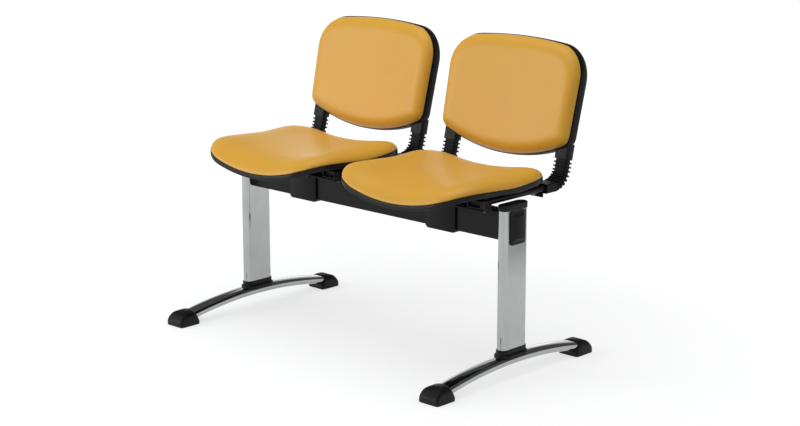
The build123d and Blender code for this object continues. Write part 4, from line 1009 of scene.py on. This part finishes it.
for seat, seat_x in SEATS:
    rings = [back_ring(seat_x, SHELL_WALL, -SHELL_WALL, s) for s in (0.02, 0.3, 0.6, 0.85)]
    rings += [back_ring(seat_x, inset, forward) for inset, forward in (
        (SHELL_WALL, -SHELL_WALL), (SHELL_WALL, -0.5 * MM), (SHELL_WALL - 0.4 * MM, -0.3 * MM),
        (2 * MM, -0.3 * MM), (0, -4 * MM), (0, SHELL_ROUND - SHELL_DEPTH))]
    for k in range(1, 9):
        turn = k / 8 * pi / 2
        rings.append(back_ring(
            seat_x, SHELL_ROUND * (1 - cos(turn)),
            SHELL_ROUND * (1 - sin(turn)) - SHELL_DEPTH))
    rings += [
        back_ring(seat_x, SHELL_ROUND, -SHELL_DEPTH, s) for s in (0.9, 0.7, 0.45, 0.2, 0.02)]
    shell = skin(f"shell_{seat}", rings, sharp=FINE_CREASE)

    cutter = bmesh.new()
    facing = Matrix((Vector((1, 0, 0)), UP_BACK, -FORWARD)).transposed().to_4x4()
    for x in (-SHELL_SCREW_X, SHELL_SCREW_X):
        for v in (SHELL_SCREW_TOP, SHELL_SCREW_BOTTOM):
            front = hollow(SHELL_SCREW_X) + HEAD_SEAT
            rear = hollow(SHELL_SCREW_X) - SHELL_DEPTH - 5 * MM
            centre = on_back(seat_x, x, v, (front + rear) / 2)
            add_rod(cutter, COUNTERBORE, front - rear, Matrix.Translation(centre) @ facing)
    shape = carved(shell, make_object("counterbore_drill", cutter))
    for x in (-TUBE_SPREAD / 2, TUBE_SPREAD / 2):
        section = rounded_rectangle(SOCKET_WIDTH, SOCKET_DEPTH, SOCKET_CORNER, 6)
        small = rounded_rectangle(
            SOCKET_WIDTH - 2 * SOCKET_LIP, SOCKET_DEPTH - 2 * SOCKET_LIP,
            SOCKET_CORNER - SOCKET_LIP, 6)
        join_rings(shape, [
            [on_back(seat_x, x + a, up, SOCKET_LINE + b) for a, b in ring]
            for ring, up in (
                (small, SOCKET_BOTTOM), (section, SOCKET_BOTTOM + SOCKET_LIP),
                (section, SOCKET_TOP))])
    dress(make_object(f"moulded_shell_{seat}", shape, FINE_CREASE), moulded_plastic,
          f"back_shell_{seat}")

# ------------------------------------------------------------------ back screws
# The boards are held by pan-head screws in the shells' counterbores, and one more screw pins
# each tube in its socket. They are zinc plated, with a cross recess.
SCREW_HEAD = 4 * MM         # radius
SCREW_HEAD_HEIGHT = 3 * MM
HEAD_PROFILE = (            # radius and height of the head's rings, as shares of the head's
    (0.5, -3.0), (0.5, 0.0), (1.0, 0.0), (1.0, 0.45), (0.92, 0.75), (0.72, 0.95), (0.45, 1.0))
CROSS = (0.42, 0.4) + (0.13 * 1.3,) * 5 + (0.4,)    # reach from one arm round to the next
CROSS_FLOOR = 0.45
HEAD_POINTS = 32
PIN_RISE = 19 * MM          # pinning screw above the socket's lower end


def screw_tree():
    """Geometry nodes that stand a screw head on every point, all turned the same way."""
    group, given = open_group("screw_heads", "Screws", {
        "Geometry": ["Places"], "Object": ["Head"], "Float": ["Lean"], "Material": ["Plate"]})
    head = add_node(group, "GeometryNodeObjectInfo", {"Object": given["Head"]})
    lean = add_node(group, "ShaderNodeCombineXYZ", {"X": given["Lean"]})
    heads = add_node(
        group, "GeometryNodeInstanceOnPoints",
        {"Points": given["Places"], "Instance": head.outputs["Geometry"], "Rotation": lean})
    real = add_node(group, "GeometryNodeRealizeInstances", {"Geometry": heads})
    plated = add_node(
        group, "GeometryNodeSetMaterial", {"Geometry": real, "Material": given["Plate"]})
    add_node(group, "NodeGroupOutput", {"Screws": plated})
    return group


def head_mesh():
    """A pan head with its crown along +Z, a cross recess and a short shank."""
    rings = []
    for reaches, rise in [((reach,), rise) for reach, rise in HEAD_PROFILE] + [
            (CROSS, 1.0), (CROSS, CROSS_FLOOR)]:
        ring = []
        for k in range(HEAD_POINTS):
            turn = 2 * pi * k / HEAD_POINTS
            reach = SCREW_HEAD * reaches[k % len(reaches)]
            ring.append(Vector((reach * cos(turn), reach * sin(turn), SCREW_HEAD_HEIGHT * rise)))
        rings.append(ring)
    return skin("pan_head", rings)


screw_heads = screw_tree()
pan_head = head_mesh()
screw_places = {
    "back_board_screws": [
        (x, v, hollow(SHELL_SCREW_X) + HEAD_SEAT)
        for x in (-SHELL_SCREW_X, SHELL_SCREW_X)
        for v in (SHELL_SCREW_TOP, SHELL_SCREW_BOTTOM)],
    "socket_screws": [
        (x, SOCKET_BOTTOM + PIN_RISE, SOCKET_LINE - SOCKET_DEPTH / 2)
        for x in (-TUBE_SPREAD / 2, TUBE_SPREAD / 2)]}
for node, places in screw_places.items():
    shape = bmesh.new()
    for _, seat_x in SEATS:
        for across, up, forward in places:
            shape.verts.new(on_back(seat_x, across, up, forward))
    spots = make_object(f"plated_{node}", shape)
    screws = grow(spots, screw_heads, {
        "Head": pan_head, "Lean": -(pi / 2 + BACK_LEAN), "Plate": zinc_plate})
    dress(screws, zinc_plate, node)
bpy.data.objects.remove(pan_head)

# ------------------------------------------------------------------ back pads
# The back pad is foam on its board under the same amber leatherette, crowned towards the
# sitter, with its cover pulled tight round a full edge.
PAD_THICK = 29 * MM         # at the middle of the back
PAD_ROLL = 40 * MM          # how far in from its edge the pad reaches that thickness
PAD_TOP = 160.5 * MM        # the pad's outline, a little inside the shell's
PAD_SHOULDER = 138 * MM
PAD_SHOULDER_HALF = 220 * MM
PAD_HIP = -98 * MM
PAD_HIP_HALF = 213.5 * MM
PAD_BOTTOM = -146.5 * MM
PAD_TOP_CORNER = 86 * MM
PAD_BOTTOM_CORNER = 25 * MM

pad_outline = rounded_outline(
    PAD_TOP, (PAD_SHOULDER_HALF, PAD_SHOULDER), (PAD_HIP_HALF, PAD_HIP), PAD_BOTTOM,
    PAD_TOP_CORNER, PAD_BOTTOM_CORNER)

upholster(
    "leather_back", "back_pad", pad_outline,
    lambda x, y, h: on_back(-SEAT_PITCH / 2, x, y, hollow(x) + h), PAD_THICK, PAD_ROLL,
    lambda p: (p - on_back(-SEAT_PITCH / 2, 0, 0, 0)).dot(FORWARD)
    - hollow(p.x + SEAT_PITCH / 2))

# ------------------------------------------------------------------ studio
# A pale floor and a white surround under a grey ceiling, with soft lights. The camera, metal and
# gloss all see the same surround. A pool of light is painted on the floor round the bench, and
# shade is painted on it behind the bench's right.
FLOOR_HALF = 30.0           # metres
FLOOR_GLOW = 0.59           # floor's own light in the pool, where 1 is that beyond it
# Painted pool of light: the floor's colour is this pale within the pool round the object.
FLOOR_PAINTED_POOL = "#B4B5B6"       # within the pool of light round the object
FLOOR_FAR = "#5E5F60"
POOL_X = -0.3               # middle of the pool of light, metres
POOL_Y = -0.8
POOL_EDGE = 1.3
POOL_END = 2.7
# Painted shade: a patch of floor behind the right leg where the floor's own glow is dimmed.
SHADE_X = 1.95              # middle of a shaded patch of floor, behind the right leg
SHADE_Y = 1.45
SHADE_CORE = 0.35           # metres from its middle that it is darkest
SHADE_END = 1.35
SHADE_LEVEL = 0.3

shape = bmesh.new()
bmesh.ops.create_grid(shape, x_segments=1, y_segments=1, size=FLOOR_HALF)
floor = make_object("studio_floor", shape)


def direct_rays(tree):
    """1 for camera, glossy and transmission rays, which see the room as it is, and else 0."""
    rays = add_node(tree, "ShaderNodeLightPath").outputs
    looks = add_node(
        tree, "ShaderNodeMath", {0: rays["Is Camera Ray"], 1: rays["Is Glossy Ray"]},
        operation="ADD")
    return add_node(
        tree, "ShaderNodeMath", {0: looks, 1: rays["Is Transmission Ray"]}, operation="ADD",
        use_clamp=True)


floor_paint, tree, shader, place = start_material(
    "pale_studio_floor", Roughness=0.9, Specular_IOR_Level=0.0)
# Painted pool of light: the floor's colour goes from pale near the pool's middle to dark beyond
# its end, while its own glow rises there to keep the floor white.
centred = add_node(
    tree, "ShaderNodeMapping", {"Vector": place, "Location": (-POOL_X, -POOL_Y, 0.0)})
reach = add_node(tree, "ShaderNodeVectorMath", {0: centred}, operation="LENGTH")
pool = add_node(
    tree, "ShaderNodeMapRange",
    {"Value": reach.outputs["Value"], "From Min": POOL_EDGE, "From Max": POOL_END},
    interpolation_type="SMOOTHSTEP")
shade = add_node(
    tree, "ShaderNodeValToRGB", {"Fac": pool}, stops=((0.0, FLOOR_PAINTED_POOL), (1.0, FLOOR_FAR)))
lift = add_node(
    tree, "ShaderNodeMapRange",
    {"Value": reach.outputs["Value"], "From Min": POOL_EDGE, "From Max": POOL_END,
     "To Min": FLOOR_GLOW, "To Max": 1.0}, interpolation_type="SMOOTHSTEP")
# Painted shade behind the right leg: the floor's glow falls to SHADE_LEVEL at its middle.
away = add_node(
    tree, "ShaderNodeVectorMath", {0: place, 1: (SHADE_X, SHADE_Y, 0.0)}, operation="DISTANCE")
painted_shade = add_node(
    tree, "ShaderNodeMapRange",
    {"Value": away.outputs["Value"], "From Min": SHADE_CORE, "From Max": SHADE_END,
     "To Min": SHADE_LEVEL, "To Max": 1.0}, interpolation_type="SMOOTHSTEP")
level = add_node(tree, "ShaderNodeMath", {0: lift, 1: painted_shade}, operation="MULTIPLY")
glow = add_node(
    tree, "ShaderNodeMath", {0: level, 1: direct_rays(tree)}, operation="MULTIPLY")
feed(tree, shader, {
    "Base Color": shade, "Emission Strength": glow, "Emission Color": linear("#FFFFFF")})
floor.data.materials.append(floor_paint)

CEILING = "#5E5E5E"
WALL_TOP = 0.14             # sine of the height where the white surround starts to darken
CEILING_FROM = 0.42
FILL = 0.62                 # strength of the even white light on matt faces
world = bpy.data.worlds.new("studio_room")
bpy.context.scene.world = world
world.use_nodes = True
tree = world.node_tree
tree.nodes.clear()
bearing = add_node(tree, "ShaderNodeTexCoord")
split = add_node(tree, "ShaderNodeSeparateXYZ", {"Vector": bearing.outputs["Generated"]})
height = add_node(
    tree, "ShaderNodeMapRange",
    {"Value": split.outputs["Z"], "From Min": WALL_TOP, "From Max": CEILING_FROM},
    interpolation_type="SMOOTHSTEP")
room = add_node(
    tree, "ShaderNodeValToRGB", {"Fac": height}, stops=((0.0, "#FFFFFF"), (1.0, CEILING)))
seen = add_node(tree, "ShaderNodeBackground", {"Color": room})
soft = add_node(tree, "ShaderNodeBackground", {"Color": linear("#FFFFFF"), "Strength": FILL})
backdrop = add_node(
    tree, "ShaderNodeMixShader", {0: direct_rays(tree), 1: soft, 2: seen})
add_node(tree, "ShaderNodeOutputWorld", {"Surface": backdrop})

# Soft square lights: name, place, what it faces, size in metres and power in watts.
for name, spot, target, size, power in (
        ("overhead", (0.0, -0.3, 2.8), (0.0, 0.0, 0.4), 2.4, 24),
        ("front_left", (-2.3, -2.6, 1.1), (0.0, 0.0, 0.5), 1.9, 42),
        ("back_left", (-2.6, 2.9, 1.3), (0.0, 0.0, 0.5), 1.8, 6)):
    lamp = bpy.data.lights.new(name, "AREA")
    lamp.shape = "SQUARE"
    lamp.size = size
    lamp.energy = power
    box = new_object(name, lamp)
    box.location = spot
    box.visible_camera = False
    box.rotation_euler = (Vector(target) - Vector(spot)).to_track_quat("-Z", "Y").to_euler()

# ------------------------------------------------------------------ camera
CAMERA_PLACE = Vector((3.320, -3.415 + LEG_Y, 1.470))
CAMERA_TURN = radians(43.43)
CAMERA_TILT = radians(13.35)
lens = bpy.data.cameras.new("studio_camera")
lens.lens = 84.06
lens.sensor_width = 36.0
lens.clip_end = 200.0
camera = new_object("studio_camera", lens)
camera.location = CAMERA_PLACE
away = Vector((
    sin(CAMERA_TURN) * cos(CAMERA_TILT), -cos(CAMERA_TURN) * cos(CAMERA_TILT),
    sin(CAMERA_TILT)))
camera.rotation_euler = (-away).to_track_quat("-Z", "Y").to_euler()
bpy.context.scene.camera = camera
bpy.context.scene.view_settings.view_transform = "Standard"
